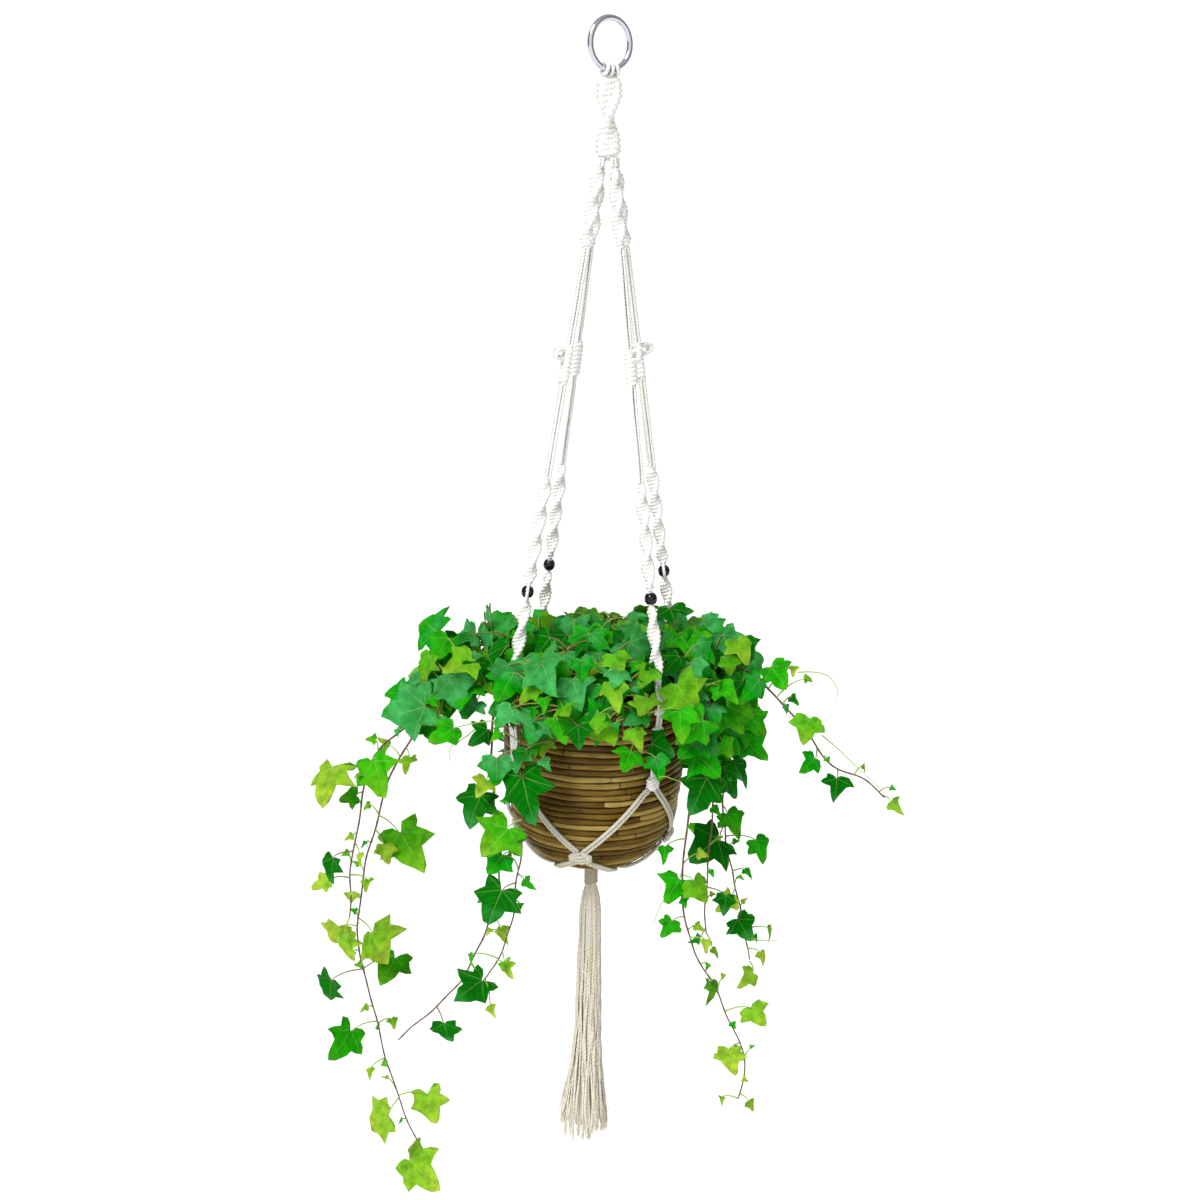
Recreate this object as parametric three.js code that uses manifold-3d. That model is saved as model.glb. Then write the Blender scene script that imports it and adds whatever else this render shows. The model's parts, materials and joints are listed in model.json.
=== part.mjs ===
// An English ivy in a rattan basket that hangs in a knotted cotton hanger.
//
// Frame: millimetres, +Z up, the front of the basket towards -Y. The origin is the inside top of the
// steel ring, where a hook carries the whole piece. Azimuths are degrees from the front, +X positive.

import * as THREE from "three";
import { mergeVertices } from "three/addons/utils/BufferGeometryUtils.js";
import Module from "manifold-3d";

const wasm = await Module();
wasm.setup();

// Driving dimensions

const RING = { outer: 50, wire: 5.6, turned: 37 };
const RING_CENTRE_Z = -(RING.outer / 2 - RING.wire);

const CROWN = { top: -46.5, bottom: -119.6 };
const LOOP = { count: 3, spread: 14, middle: 5.2, cord: 1.8 };

const ARMS = [
  { name: "front_left", azimuth: -52.9 },
  { name: "front_right", azimuth: 37.1 },
  { name: "rear_right", azimuth: 127.1 },
  { name: "rear_left", azimuth: -142.9 },
];
// The middle of an arm as [height, distance from the axis]: taut to the rim, then in to the wall.
const ARM_LINE = [
  [-120.8, 8.6],
  [-600, 98.6],
  [-609, 101.6],
  [-617, 102.4],
  [-626, 101.4],
  [-654, 96.9],
  [-690, 94.9],
  [-700, 94.6],
];
const BEAD = { diameter: 12, height: 10.6, bore: 5.4, z: -515.5 };
const CORE = 2.4;

const KNOT = { top: -764.5, bottom: -778, wide: 12.6, deep: 4.2 };
const PAIR = { wide: 3.9, deep: 2.3 };
const GATHER = { radius: 5.4, top: -800, bottom: -834.3 };
const COLLAR = { outer: 6.7, bore: 5.9, top: -808, bottom: -834 };
const TASSEL = { top: -834.6, bottom: -1128, strands: 8 };

const BASKET = {
  rimOuter: 99.3,
  rimTop: -612.4,
  neck: 92.5,
  neckZ: -640,
  belly: 90,
  bellyZ: -690,
  base: 38,
  baseZ: -799,
  wall: 6.5,
  roundness: 2.1,
  sides: 20,
  steps: 6,
};
const LINER_GAP = 0.4;
const LINER_WALL = 1.2;
const LINER_TOP = -626;
const SOIL_TOP = -640;
const ROOT_Z = -652;
const HOLE_GAP = 0.35;
const HOLE_LENGTH = 24;

const STEM = 1.75;
const PETIOLE = 0.9;
const FOOT = 0.5;
const BLADE = 0.7;
const GROWN = 38;
const YOUNG = 22;
const CLEAR = 0.4;
// The top of the plant at its middle, and how much it falls for each millimetre to the rear.
const LEAF_TOP = -556;
const REAR_FALL = 0.2;

// Leafy stems. A route starts in the soil. A placed leaf is [x, y, z, size, swing] of its blade, where
// swing turns its tip towards +X, and clothed gives [from, to, spacing, size at the start, size at the
// end] along the stem.
const VINES = [
  {
    name: "vine_left_outer",
    route: [
      [-40, -14, ROOT_Z],
      [-40, -14, -628],
      [-62, -24, -598],
      [-98, -39, -590],
      [-138, -54, -600],
      [-160, -60, -632],
      [-200, -64, -663],
      [-219, -66, -694],
      [-224, -70, -739],
      [-234, -75, -784],
      [-234, -79, -842],
    ],
    leaves: [
      [-177, -78, -628, 60, -1.6],
      [-253, -84, -697, 52],
      [-205, -86, -688, 46],
      [-236, -60, -722, 24],
      [-252, -84, -786, 34],
      [-264, -64, -812, 24],
      [-222, -90, -773, 16],
      [-218, -76, -806, 20],
      [-236, -86, -866, 38],
      [-132, -80, -606, 42],
      [-148, -40, -574, 34],
    ],
    clothed: [[85, 190, 20, 42, 34]],
  },
  {
    name: "vine_left_inner",
    route: [
      [-44, 4, ROOT_Z],
      [-44, 4, -628],
      [-68, 3, -598],
      [-106, 2, -590],
      [-150, 0, -608],
      [-172, -4, -668],
      [-201, -6, -708],
      [-213, -8, -753],
      [-232, -10, -822],
      [-240, -12, -907],
      [-226, -13, -953],
      [-214, -15, -1015],
      [-195, -17, -1082],
      [-177, -20, -1124],
    ],
    leaves: [
      [-184, -22, -700, 24],
      [-186, -26, -786, 54],
      [-206, -32, -792, 26],
      [-262, -4, -894, 34],
      [-216, -32, -890, 50],
      [-208, 8, -936, 44],
      [-268, -14, -952, 40],
      [-253, -20, -1010, 46],
      [-224, -30, -1038, 16],
      [-204, -2, -996, 16],
      [-164, -24, -1078, 40],
      [-217, -24, -1096, 44],
      [-174, -22, -1158, 58],
    ],
    clothed: [[75, 190, 21, 44, 34]],
  },
  {
    name: "vine_front_left",
    route: [
      [-24, -34, ROOT_Z],
      [-24, -34, -628],
      [-38, -52, -596],
      [-58, -86, -590],
      [-68, -108, -612],
      [-70, -106, -660],
      [-67, -102, -702],
      [-65, -100, -744],
      [-72, -99, -800],
      [-76, -97, -846],
      [-101, -95, -897],
    ],
    leaves: [
      [-61, -124, -690, 58],
      [-90, -116, -668, 34],
      [-88, -112, -740, 48],
      [-90, -112, -806, 46],
      [-90, -106, -768, 32],
      [-60, -100, -790, 18],
      [-78, -108, -876, 24],
      [-114, -98, -902, 42],
      [-114, -100, -872, 22],
      [-94, -92, -930, 18],
    ],
    clothed: [[70, 115, 15, 40, 36]],
  },
  {
    name: "vine_left_low",
    route: [
      [-36, -28, ROOT_Z],
      [-36, -28, -628],
      [-52, -42, -600],
      [-76, -80, -596],
      [-94, -88, -616],
      [-98, -86, -664],
      [-94, -76, -730],
      [-87, -70, -795],
      [-98, -67, -845],
      [-116, -65, -893],
      [-133, -63, -924],
      [-165, -62, -956],
      [-192, -58, -984],
    ],
    leaves: [
      [-112, -92, -716, 44],
      [-104, -100, -692, 26],
      [-84, -82, -852, 22],
      [-142, -70, -966, 32],
      [-104, -72, -818, 20],
    ],
    clothed: [],
  },
  {
    name: "vine_far_right",
    route: [
      [44, -2, ROOT_Z],
      [44, -2, -628],
      [62, -5, -594],
      [96, -13, -580],
      [136, -20, -590],
      [168, -22, -613],
      [204, -24, -650],
      [226, -26, -683],
      [244, -28, -697],
      [268, -29, -702],
      [290, -30, -722],
    ],
    leaves: [
      [177, -28, -598, 34],
      [193, -20, -595, 14],
      [207, -24, -603, 14],
      [206, -40, -648, 34],
      [196, -12, -628, 16],
      [213, -34, -686, 28],
      [240, -38, -708, 30],
      [300, -32, -729, 22],
      [140, -34, -572, 34],
      [118, 6, -566, 36],
    ],
    clothed: [[70, 150, 20, 38, 30]],
  },
  {
    name: "vine_right_front",
    route: [
      [38, -20, ROOT_Z],
      [38, -20, -628],
      [60, -32, -600],
      [88, -46, -594],
      [106, -55, -618],
      [104, -54, -672],
      [98, -52, -705],
      [92, -50, -760],
      [89, -49, -810],
      [98, -48, -872],
      [127, -47, -921],
      [152, -46, -978],
      [166, -46, -1012],
      [155, -45, -1053],
    ],
    leaves: [
      [72, -66, -770, 22],
      [82, -64, -808, 36],
      [106, -56, -812, 34],
      [78, -50, -856, 26],
      [116, -56, -872, 18],
      [124, -54, -922, 28],
      [170, -50, -951, 30],
      [146, -52, -1000, 34],
      [140, -46, -1050, 12],
      [170, -48, -1055, 18],
    ],
    clothed: [[75, 205, 19, 40, 30]],
  },
  {
    name: "vine_right_side",
    route: [
      [42, 10, ROOT_Z],
      [42, 10, -628],
      [64, 14, -600],
      [98, 18, -590],
      [126, 18, -618],
      [134, 16, -680],
      [132, 15, -748],
      [138, 14, -798],
      [150, 12, -840],
      [162, 11, -898],
      [168, 10, -924],
    ],
    leaves: [
      [118, 2, -792, 54],
      [142, 2, -764, 34],
      [172, 4, -794, 36],
      [162, 18, -826, 16],
      [140, 4, -852, 30],
      [158, 2, -880, 36],
      [180, 4, -914, 20],
      [166, 6, -938, 26],
      [188, 16, -892, 22],
    ],
    clothed: [[85, 225, 19, 42, 34]],
  },
  {
    name: "vine_right_low",
    route: [
      [34, -10, ROOT_Z],
      [34, -10, -628],
      [58, -17, -604],
      [90, -25, -598],
      [114, -26, -622],
      [122, -20, -690],
      [120, -17, -745],
      [116, -18, -840],
      [118, -20, -878],
    ],
    leaves: [
      [136, -30, -838, 24],
      [108, -28, -880, 18],
      [128, -24, -896, 16],
    ],
    clothed: [[90, 200, 20, 40, 32]],
  },
  {
    name: "vine_rear_left",
    route: [
      [-26, 34, ROOT_Z],
      [-26, 34, -628],
      [-38, 54, -600],
      [-56, 90, -592],
      [-66, 114, -622],
      [-62, 116, -700],
      [-50, 112, -770],
      [-44, 108, -830],
    ],
    leaves: [[-42, 112, -842, 24]],
    clothed: [[90, 300, 34, 44, 26]],
  },
  {
    name: "vine_rear_right",
    route: [
      [26, 36, ROOT_Z],
      [26, 36, -628],
      [32, 56, -600],
      [44, 92, -590],
      [54, 118, -620],
      [50, 120, -690],
      [44, 116, -760],
      [34, 112, -800],
    ],
    leaves: [[32, 116, -812, 22]],
    clothed: [[90, 270, 34, 44, 26]],
  },
];

// The short shoots of the crown, from one bunch in the middle of the soil.
const BUNCH = { radius: 6.5, top: -624 };
const SHOOTS = [
  { azimuth: -12, reach: 118, rise: -584, end: -644, bend: -6 },
  { azimuth: 8, reach: 116, rise: -578, end: -640, bend: 6 },
  { azimuth: 23, reach: 114, rise: -586, end: -676, bend: -4 },
  { azimuth: 51, reach: 116, rise: -582, end: -632, bend: 4 },
  { azimuth: 112, reach: 126, rise: -584, end: -640, bend: 8 },
  { azimuth: 144, reach: 124, rise: -580, end: -650, bend: 6 },
  { azimuth: 182, reach: 122, rise: -582, end: -664, bend: -6 },
  { azimuth: -124, reach: 126, rise: -584, end: -644, bend: 6 },
  { azimuth: -102, reach: 132, rise: -580, end: -636, bend: 4 },
  { azimuth: -28, reach: 96, rise: -568, end: -598, bend: 8 },
  { azimuth: 76, reach: 84, rise: -566, end: -576, bend: 0 },
  { azimuth: -80, reach: 84, rise: -564, end: -574, bend: 0 },
  { azimuth: 163, reach: 80, rise: -566, end: -572, bend: 0 },
];
const SHOOT_LEAVES = { from: 36, spacing: 18, start: 42, end: 35 };
// Leaves of the crown that stand out from the rest, as [x, y, z, size].
const CROWN_LEAVES = [
  [-89, -14, -565, 38],
  [-128, -30, -568, 24],
  [-106, -28, -570, 30],
  [-118, -66, -626, 30],
  [-53, -10, -558, 28],
  [-20, -30, -558, 38],
  [-50, -52, -568, 36],
  [-84, -90, -586, 36],
  [-138, -116, -636, 34],
  [-30, -78, -576, 36],
  [-18, -110, -592, 36],
  [2, -58, -556, 30],
  [20, -88, -572, 30],
  [38, -26, -560, 28],
  [48, -98, -580, 28],
  [76, 20, -554, 38],
  [98, -20, -566, 30],
  [94, -66, -586, 36],
  [124, -62, -604, 34],
  [-82, -118, -616, 30],
  [-56, -128, -624, 42],
  [-32, -120, -626, 30],
  [-106, -100, -642, 28],
  [2, -120, -620, 30],
  [20, -112, -600, 30],
  [46, -122, -602, 28],
  [38, -124, -632, 26],
  [32, -118, -656, 30],
  [60, -118, -662, 30],
];

// Right half of a blade one unit long, from beside the stalk to below the tip.
const FIVE_LOBES = [
  [0.4, -0.12],
  [0.38, 0.13],
  [0.58, 0.36],
  [0.27, 0.5],
];
const THREE_LOBES = [
  [0.34, -0.04],
  [0.48, 0.28],
  [0.24, 0.48],
];
const SMALL_LOBES = [
  [0.45, 0.16],
  [0.2, 0.46],
];
const BLADE_MIDDLE = 0.36;
const BLADE_RADIUS = 0.64;
const BLADE_DROP = 0.055;
const BLADE_HALF = 0.062;

// Colours and finishes

const finish = (color, roughness, metalness = 0) =>
  new THREE.MeshStandardMaterial({ color, roughness, metalness });
const COTTON = finish("#F1EEE4", 0.92);
const TASSEL_COTTON = finish("#E6DDCB", 0.94);
const CHROME = finish("#C9CCD1", 0.14, 1);
const BEAD_BLACK = finish("#0F1619", 0.18);
const RATTAN = finish("#8C7140", 0.62);
const PLASTIC = finish("#1C1A18", 0.6);
const SOIL = finish("#2E2118", 0.98);
const IVY = finish("#2A8A24", 0.5);

// Small helpers

const vec = (x, y, z) => new THREE.Vector3(x, y, z);
const radians = THREE.MathUtils.degToRad;
const mix = THREE.MathUtils.lerp;
const UP = vec(0, 0, 1);
const FRONT = vec(0, -1, 0);

function polar(radius, azimuth, z) {
  const a = radians(azimuth);
  return vec(radius * Math.sin(a), -radius * Math.cos(a), z);
}

// A stream of numbers from 0 to 1 that is the same on every run.
function seeded(seed) {
  let state = seed;
  return () => {
    state = (state * 48271) % 2147483647;
    return state / 2147483647;
  };
}

// The second column of a table of [at, value], read between its rows.
function readBetween(table, at) {
  for (let i = 1; i < table.length; i++) {
    const [a, va] = table[i - 1];
    const [b, vb] = table[i];
    if ((at - a) * (at - b) <= 0) return mix(va, vb, (at - a) / (b - a));
  }
  return table[table.length - 1][1];
}

// Solids

function closed(positions, triangles) {
  const geometry = new THREE.BufferGeometry();
  geometry.setAttribute("position", new THREE.Float32BufferAttribute(positions, 3));
  geometry.setIndex(triangles);
  return geometry;
}

// A closed tube through stations of { at, out, wide, deep, turn }. Wide lies across the tube and
// deep towards out, and turn rolls the section about the tube, in degrees.
function sweep(stations, sides, phase = 0) {
  const positions = [];
  const triangles = [];
  const last = stations.length - 1;
  stations.forEach((s, k) => {
    const ahead = stations[Math.min(k + 1, last)].at;
    const behind = stations[Math.max(k - 1, 0)].at;
    const along = ahead.clone().sub(behind).normalize();
    const out = s.out.clone().addScaledVector(along, -s.out.dot(along)).normalize();
    const across = out.clone().cross(along);
    for (let i = 0; i < sides; i++) {
      const a = (2 * Math.PI * i) / sides + phase;
      const roll = radians(s.turn ?? 0);
      const u = s.wide * Math.cos(a);
      const v = s.deep * Math.sin(a);
      const p = s.at
        .clone()
        .addScaledVector(across, u * Math.cos(roll) - v * Math.sin(roll))
        .addScaledVector(out, u * Math.sin(roll) + v * Math.cos(roll));
      positions.push(p.x, p.y, p.z);
    }
  });
  const corner = (k, i) => k * sides + (i % sides);
  for (let k = 0; k < last; k++) {
    for (let i = 0; i < sides; i++) {
      triangles.push(corner(k, i), corner(k, i + 1), corner(k + 1, i + 1));
      triangles.push(corner(k, i), corner(k + 1, i + 1), corner(k + 1, i));
    }
  }
  for (let i = 1; i < sides - 1; i++) {
    triangles.push(corner(0, 0), corner(0, i + 1), corner(0, i));
    triangles.push(corner(last, 0), corner(last, i), corner(last, i + 1));
  }
  return closed(positions, triangles);
}

// A solid of revolution about Z through [radius, z] points that start and end on the axis, or close.
function turned(points, sides) {
  const profile = points.map(([r, z]) => new THREE.Vector2(r, z));
  return new THREE.LatheGeometry(profile, sides).rotateX(Math.PI / 2);
}

function solid(geometry) {
  const bare = geometry.clone();
  bare.deleteAttribute("normal");
  bare.deleteAttribute("uv");
  const merged = mergeVertices(bare, 1e-3);
  return new wasm.Manifold(
    new wasm.Mesh({
      numProp: 3,
      vertProperties: new Float32Array(merged.attributes.position.array),
      triVerts: new Uint32Array(merged.index.array),
    }),
  );
}

function shape(body) {
  const mesh = body.getMesh();
  return closed(mesh.vertProperties, Array.from(mesh.triVerts));
}

const fuse = (geometries) => shape(geometries.map(solid).reduce((a, b) => a.add(b)));
const cut = (geometry, tools) => shape(tools.map(solid).reduce((a, b) => a.subtract(b), solid(geometry)));

const part = new THREE.Group();

function node(name, geometry, material) {
  const mesh = new THREE.Mesh(geometry, material);
  mesh.name = name;
  part.add(mesh);
  return mesh;
}

// The steel ring and the cords that loop over it

function buildRing() {
  const wire = RING.wire / 2;
  const ring = new THREE.TorusGeometry(RING.outer / 2 - wire, wire, 6, 22);
  ring.rotateX(Math.PI / 2);
  const mesh = node("hang_ring", ring, CHROME);
  mesh.rotation.z = radians(RING.turned);
  mesh.position.z = RING_CENTRE_Z;
}

function buildCrown() {
  const swing = LOOP.spread;
  const middle = RING.outer / 2 - RING.wire / 2;
  const loops = [];
  for (let i = 0; i < LOOP.count; i++) {
    const loop = new THREE.TorusGeometry(LOOP.middle, LOOP.cord, 4, 9);
    loop.rotateY(Math.PI / 2);
    loop.translate(0, 0, -middle);
    loop.rotateY(radians(swing * (i - (LOOP.count - 1) / 2)));
    loop.translate(0, 0, RING_CENTRE_Z);
    loop.rotateZ(radians(RING.turned));
    loops.push(loop);
  }
  const sections = [
    [CROWN.top, 8, 5, -37],
    [-55, 10.4, 7.4, 60],
    [-66, 9.6, 7.2, 95],
    [-77, 6.6, 6, 130],
    [-88, 9, 6.8, 160],
    [-98, 11.4, 8.4, 190],
    [-109, 12.2, 10, 220],
    [CROWN.bottom, 11.8, 11.4, 250],
  ];
  const bundle = sweep(
    sections.map(([z, wide, deep, turn]) => ({ at: vec(0, 0, z), out: FRONT, wide, deep, turn })),
    8,
  );
  node("crown_sinnet", fuse([bundle, ...loops]), COTTON);
}

// Arms: a twisted sinnet, straight cords, a square knot with a picot, straight cords, a long
// twisted sinnet that holds the bead, then small knots over the rim to the gathering knot

const armRadius = (z) => readBetween(ARM_LINE, z);

function armSections() {
  const rows = [];
  const spiral = (from, to, wide, deep) => {
    const steps = Math.round((from - to) / 11);
    for (let i = 0; i <= steps; i++) {
      rows.push([mix(from, to, i / steps), wide, deep, 45 * i]);
    }
  };
  const plain = (z, wide, deep) => rows.push([z, wide, deep, 0]);
  plain(-120.8, 4.8, 4.6);
  spiral(-126, -199, 7, 5.4);
  plain(-203, 4.8, 4.2);
  plain(-285, 4.8, 4.2);
  plain(-289, 7.4, 5.4);
  plain(-304, 8, 5.2);
  plain(-320, 7.4, 5.4);
  plain(-325, 5, 4.2);
  plain(-406, 5.4, 4.2);
  spiral(-411, BEAD.z + 6.2, 7.6, 5.6);
  plain(BEAD.z + 5.9, CORE, CORE);
  plain(BEAD.z - 5.9, CORE, CORE);
  spiral(BEAD.z - 6.2, -596, 7.4, 5.4);
  plain(-606, 6, 3.7);
  plain(-617, 5.8, 3.6);
  plain(-626, 7.6, 4.2);
  plain(-640, 5, 3.4);
  plain(-654, 7.6, 4.2);
  plain(-672, 5, 3.4);
  plain(-684, 5.6, 3.6);
  plain(-688, 8.6, 5);
  plain(-697, 8.8, 5);
  plain(-700, 7, 4);
  return rows;
}

function buildArm({ name, azimuth }) {
  const out = polar(1, azimuth, 0);
  const stations = armSections().map(([z, wide, deep, turn]) => ({
    at: polar(armRadius(z), azimuth, z),
    out,
    wide,
    deep,
    turn,
  }));
  const picotZ = [-291, -288, -293, -300, -302];
  const picotOut = [0, 11, 16.5, 12, 0];
  const picot = picotZ.map((z, i) => ({
    at: polar(armRadius(-295) + picotOut[i], azimuth, z),
    out: polar(1, azimuth + 90, 0),
    wide: 1.9,
    deep: 1.9,
  }));
  node(`arm_${name}`, fuse([sweep(stations, 4, Math.PI / 4), sweep(picot, 4)]), COTTON);
}

function buildBead({ name, azimuth }) {
  const half = BEAD.height / 2;
  const outer = BEAD.diameter / 2;
  const bore = BEAD.bore / 2;
  const profile = [
    [bore, -half],
    [outer * 0.72, -half],
    [outer, -half * 0.35],
    [outer, half * 0.35],
    [outer * 0.72, half],
    [bore, half],
    [bore, -half],
  ];
  const mesh = node(`bead_${name}`, turned(profile, 8), BEAD_BLACK);
  const above = polar(armRadius(BEAD.z + 10), azimuth, BEAD.z + 10);
  const below = polar(armRadius(BEAD.z - 10), azimuth, BEAD.z - 10);
  mesh.quaternion.setFromUnitVectors(UP, above.sub(below).normalize());
  mesh.position.copy(polar(armRadius(BEAD.z), azimuth, BEAD.z));
}

// The bowl of the basket, which the net lies on

// The bowl's surface, let in by inset, at 0 degrees by the belly and 90 by the flat base.
function bowl(angle, inset = 0) {
  const a = radians(angle);
  const power = 2 / BASKET.roundness;
  const z = mix(BASKET.bellyZ, BASKET.baseZ + inset, Math.sin(a) ** power);
  const reach = BASKET.belly - BASKET.base;
  return [BASKET.base - inset + reach * Math.cos(a) ** power, z];
}

function bowlAngle(z) {
  const share = (BASKET.bellyZ - z) / (BASKET.bellyZ - BASKET.baseZ);
  return THREE.MathUtils.radToDeg(Math.asin(share ** (BASKET.roundness / 2)));
}

// A station of a cord that lies off millimetres outside the bowl.
function onBowl(angle, azimuth, off, wide, deep) {
  const [r0, z0] = bowl(Math.max(angle - 1, 0.001));
  const [r1, z1] = bowl(Math.min(angle + 1, 89.999));
  const [r, z] = bowl(angle);
  const slope = Math.hypot(r1 - r0, z1 - z0);
  const nr = -(z1 - z0) / slope;
  const nz = (r1 - r0) / slope;
  const out = polar(nr, azimuth, nz);
  return { at: polar(r + nr * off, azimuth, z + nz * off), out, wide, deep };
}

function buildNetCords({ name, azimuth }) {
  const start = bowlAngle(-702.5);
  const end = bowlAngle(KNOT.top + 2.6);
  for (const [side, word] of [
    [-1, "left"],
    [1, "right"],
  ]) {
    const steps = 5;
    const stations = [];
    for (let i = 0; i <= steps; i++) {
      const t = i / steps;
      const turn = azimuth + side * mix(2.6, 41, t);
      const off = PAIR.deep * Math.SQRT1_2 + (i === 0 ? 2 : 0.5);
      stations.push(onBowl(mix(start, end, t), turn, off, PAIR.wide, PAIR.deep));
    }
    node(`net_cords_${name}_${word}`, sweep(stations, 4, Math.PI / 4), COTTON);
  }
}

function buildNetKnot(name, azimuth) {
  const top = bowlAngle(KNOT.top);
  const bottom = bowlAngle(KNOT.bottom);
  const off = KNOT.deep * 0.87 + 0.4;
  const widths = [0.72, 1, 0.94, 1, 0.72];
  const stations = widths.map((share, i) =>
    onBowl(mix(top, bottom, i / 4), azimuth, off, KNOT.wide * share, KNOT.deep),
  );
  node(`net_knot_${name}`, sweep(stations, 6), COTTON);
}

function buildGather() {
  const off = PAIR.deep * Math.SQRT1_2 + 0.5;
  const pieces = [];
  const start = bowlAngle(KNOT.bottom) + 3;
  const knots = ARMS.map((arm) => arm.azimuth + 45);
  const lateral = 3.1;
  for (const azimuth of knots) {
    for (const side of [-1, 1]) {
      const stations = [];
      const steps = 3;
      for (let i = 0; i <= steps; i++) {
        const t = i / steps;
        const angle = mix(start, 84, t);
        stations.push(onBowl(angle, azimuth + side * mix(7, 41, t), off, 2.9, PAIR.deep));
      }
      for (const radius of [26, 4.4]) {
        const swing = 45 - THREE.MathUtils.radToDeg(Math.asin(Math.min(lateral / radius, 1)));
        const at = polar(radius, azimuth + side * swing, BASKET.baseZ - off);
        stations.push({ at, out: vec(0, 0, -1), wide: 2.7, deep: PAIR.deep });
      }
      pieces.push(sweep(stations, 4, Math.PI / 4));
    }
  }
  const core = [GATHER.top, GATHER.top - 8, GATHER.bottom].map((z) => ({
    at: vec(0, 0, z),
    out: FRONT,
    wide: GATHER.radius,
    deep: GATHER.radius,
  }));
  node("net_gather", fuse([sweep(core, 8), ...pieces]), COTTON);
}

function buildCollar() {
  const { outer, bore, top, bottom } = COLLAR;
  const profile = [
    [bore, bottom],
    [outer - 0.5, bottom],
    [outer, bottom + 1.5],
    [outer, top - 1.5],
    [outer - 0.5, top],
    [bore, top],
    [bore, bottom],
  ];
  node("collar", turned(profile, 14), TASSEL_COTTON);
}

// The loose cord ends below the collar, which hang as one fringe
function buildTassel() {
  const random = seeded(41);
  const spread = [
    [TASSEL.top, 4.2],
    [-862, 8.6],
    [-940, 10.4],
    [-1009, 12],
    [-1060, 15.5],
    [-1100, 19],
    [TASSEL.bottom, 20],
  ];
  const core = [
    [TASSEL.top, 6.2],
    [-862, 9.4],
    [-950, 10],
    [-1030, 8],
  ].map(([z, r]) => ({ at: vec(0, 0, z), out: FRONT, wide: r, deep: r }));
  const pieces = [sweep(core, 8)];
  for (let i = 0; i < TASSEL.strands; i++) {
    const azimuth = (360 / TASSEL.strands) * i + 12 * random();
    const length = mix(TASSEL.bottom, TASSEL.bottom + 36, random());
    const inner = i % 3 === 2 ? 0.45 : 1;
    const lean = 10 * (random() - 0.5);
    const stations = [TASSEL.top - 16, -960, -1050, length].map((z, k) => ({
      at: polar(readBetween(spread, z) * inner, azimuth + lean * k, z),
      out: polar(1, azimuth, 0),
      wide: k === 3 ? 2.6 : 3.6,
      deep: k === 3 ? 2 : 3,
    }));
    pieces.push(sweep(stations, 4));
  }
  node("tassel", fuse(pieces), TASSEL_COTTON);
}

// Basket, plastic lining and soil

function bowlProfile(inset, steps) {
  const points = [];
  for (let i = steps; i >= 1; i--) points.push(bowl((90 * i) / steps, inset));
  return points;
}

// The inner wall above the bowl, let in by inset, up to a height.
function wallAt(z, inset) {
  const table = [
    [BASKET.bellyZ, BASKET.belly],
    [BASKET.neckZ, BASKET.neck],
    [-626, 94.2],
  ];
  return [readBetween(table, z) - inset, z];
}

function buildBasket() {
  const wall = BASKET.wall;
  const outside = [...bowlProfile(0, BASKET.steps), wallAt(BASKET.bellyZ, 0), wallAt(BASKET.neckZ, 0)];
  const rim = [
    [94.6, -627],
    [98.2, -621],
    [BASKET.rimOuter, -617],
    [97.6, BASKET.rimTop - 0.8],
    [94.6, BASKET.rimTop],
    [91.2, -614],
    [89.4, -619],
  ];
  const inside = [wallAt(-626, wall), wallAt(BASKET.neckZ, wall), wallAt(BASKET.bellyZ, wall)];
  const profile = [
    [0, BASKET.baseZ],
    ...outside,
    ...rim,
    ...inside,
    ...bowlProfile(wall, BASKET.steps / 2).reverse(),
    [0, BASKET.baseZ + wall],
  ];
  node("basket", turned(profile, BASKET.sides), RATTAN);
}

function buildLiner() {
  const outer = BASKET.wall + LINER_GAP;
  const inner = outer + LINER_WALL;
  const profile = [
    [0, BASKET.baseZ + outer],
    ...bowlProfile(outer, BASKET.steps / 2),
    wallAt(BASKET.bellyZ, outer),
    wallAt(BASKET.neckZ, outer),
    wallAt(LINER_TOP, outer),
    wallAt(LINER_TOP, inner),
    wallAt(BASKET.bellyZ, inner),
    ...bowlProfile(inner, BASKET.steps / 2).reverse(),
    [0, BASKET.baseZ + inner],
  ];
  node("liner", turned(profile, BASKET.sides), PLASTIC);
}

function buildSoil() {
  const inset = BASKET.wall + LINER_GAP + LINER_WALL + LINER_GAP;
  const profile = [
    [0, BASKET.baseZ + inset],
    ...bowlProfile(inset, BASKET.steps / 2),
    wallAt(BASKET.bellyZ, inset),
    wallAt(SOIL_TOP, inset),
    [0, SOIL_TOP],
  ];
  const hole = (x, y, radius, sides) =>
    new THREE.CylinderGeometry(radius, radius, HOLE_LENGTH, sides)
      .rotateX(Math.PI / 2)
      .translate(x, y, ROOT_Z - HOLE_GAP + HOLE_LENGTH / 2);
  const holes = VINES.map(({ route: [[x, y]] }) => hole(x, y, STEM + 3 * HOLE_GAP, 5));
  holes.push(hole(0, 0, BUNCH.radius + HOLE_GAP, 8));
  node("soil", cut(turned(profile, BASKET.sides), holes), SOIL);
}

// Ivy

// A route with its corners cut once, so that the stem bends as a stem does.
function eased(route) {
  const points = route.map(([x, y, z]) => vec(x, y, z));
  const out = [points[0]];
  for (let i = 1; i < points.length; i++) {
    if (i > 1) out.push(points[i - 1].clone().lerp(points[i], 0.25));
    if (i < points.length - 1) out.push(points[i - 1].clone().lerp(points[i], 0.75));
  }
  out.push(points[points.length - 1]);
  return out;
}

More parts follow.
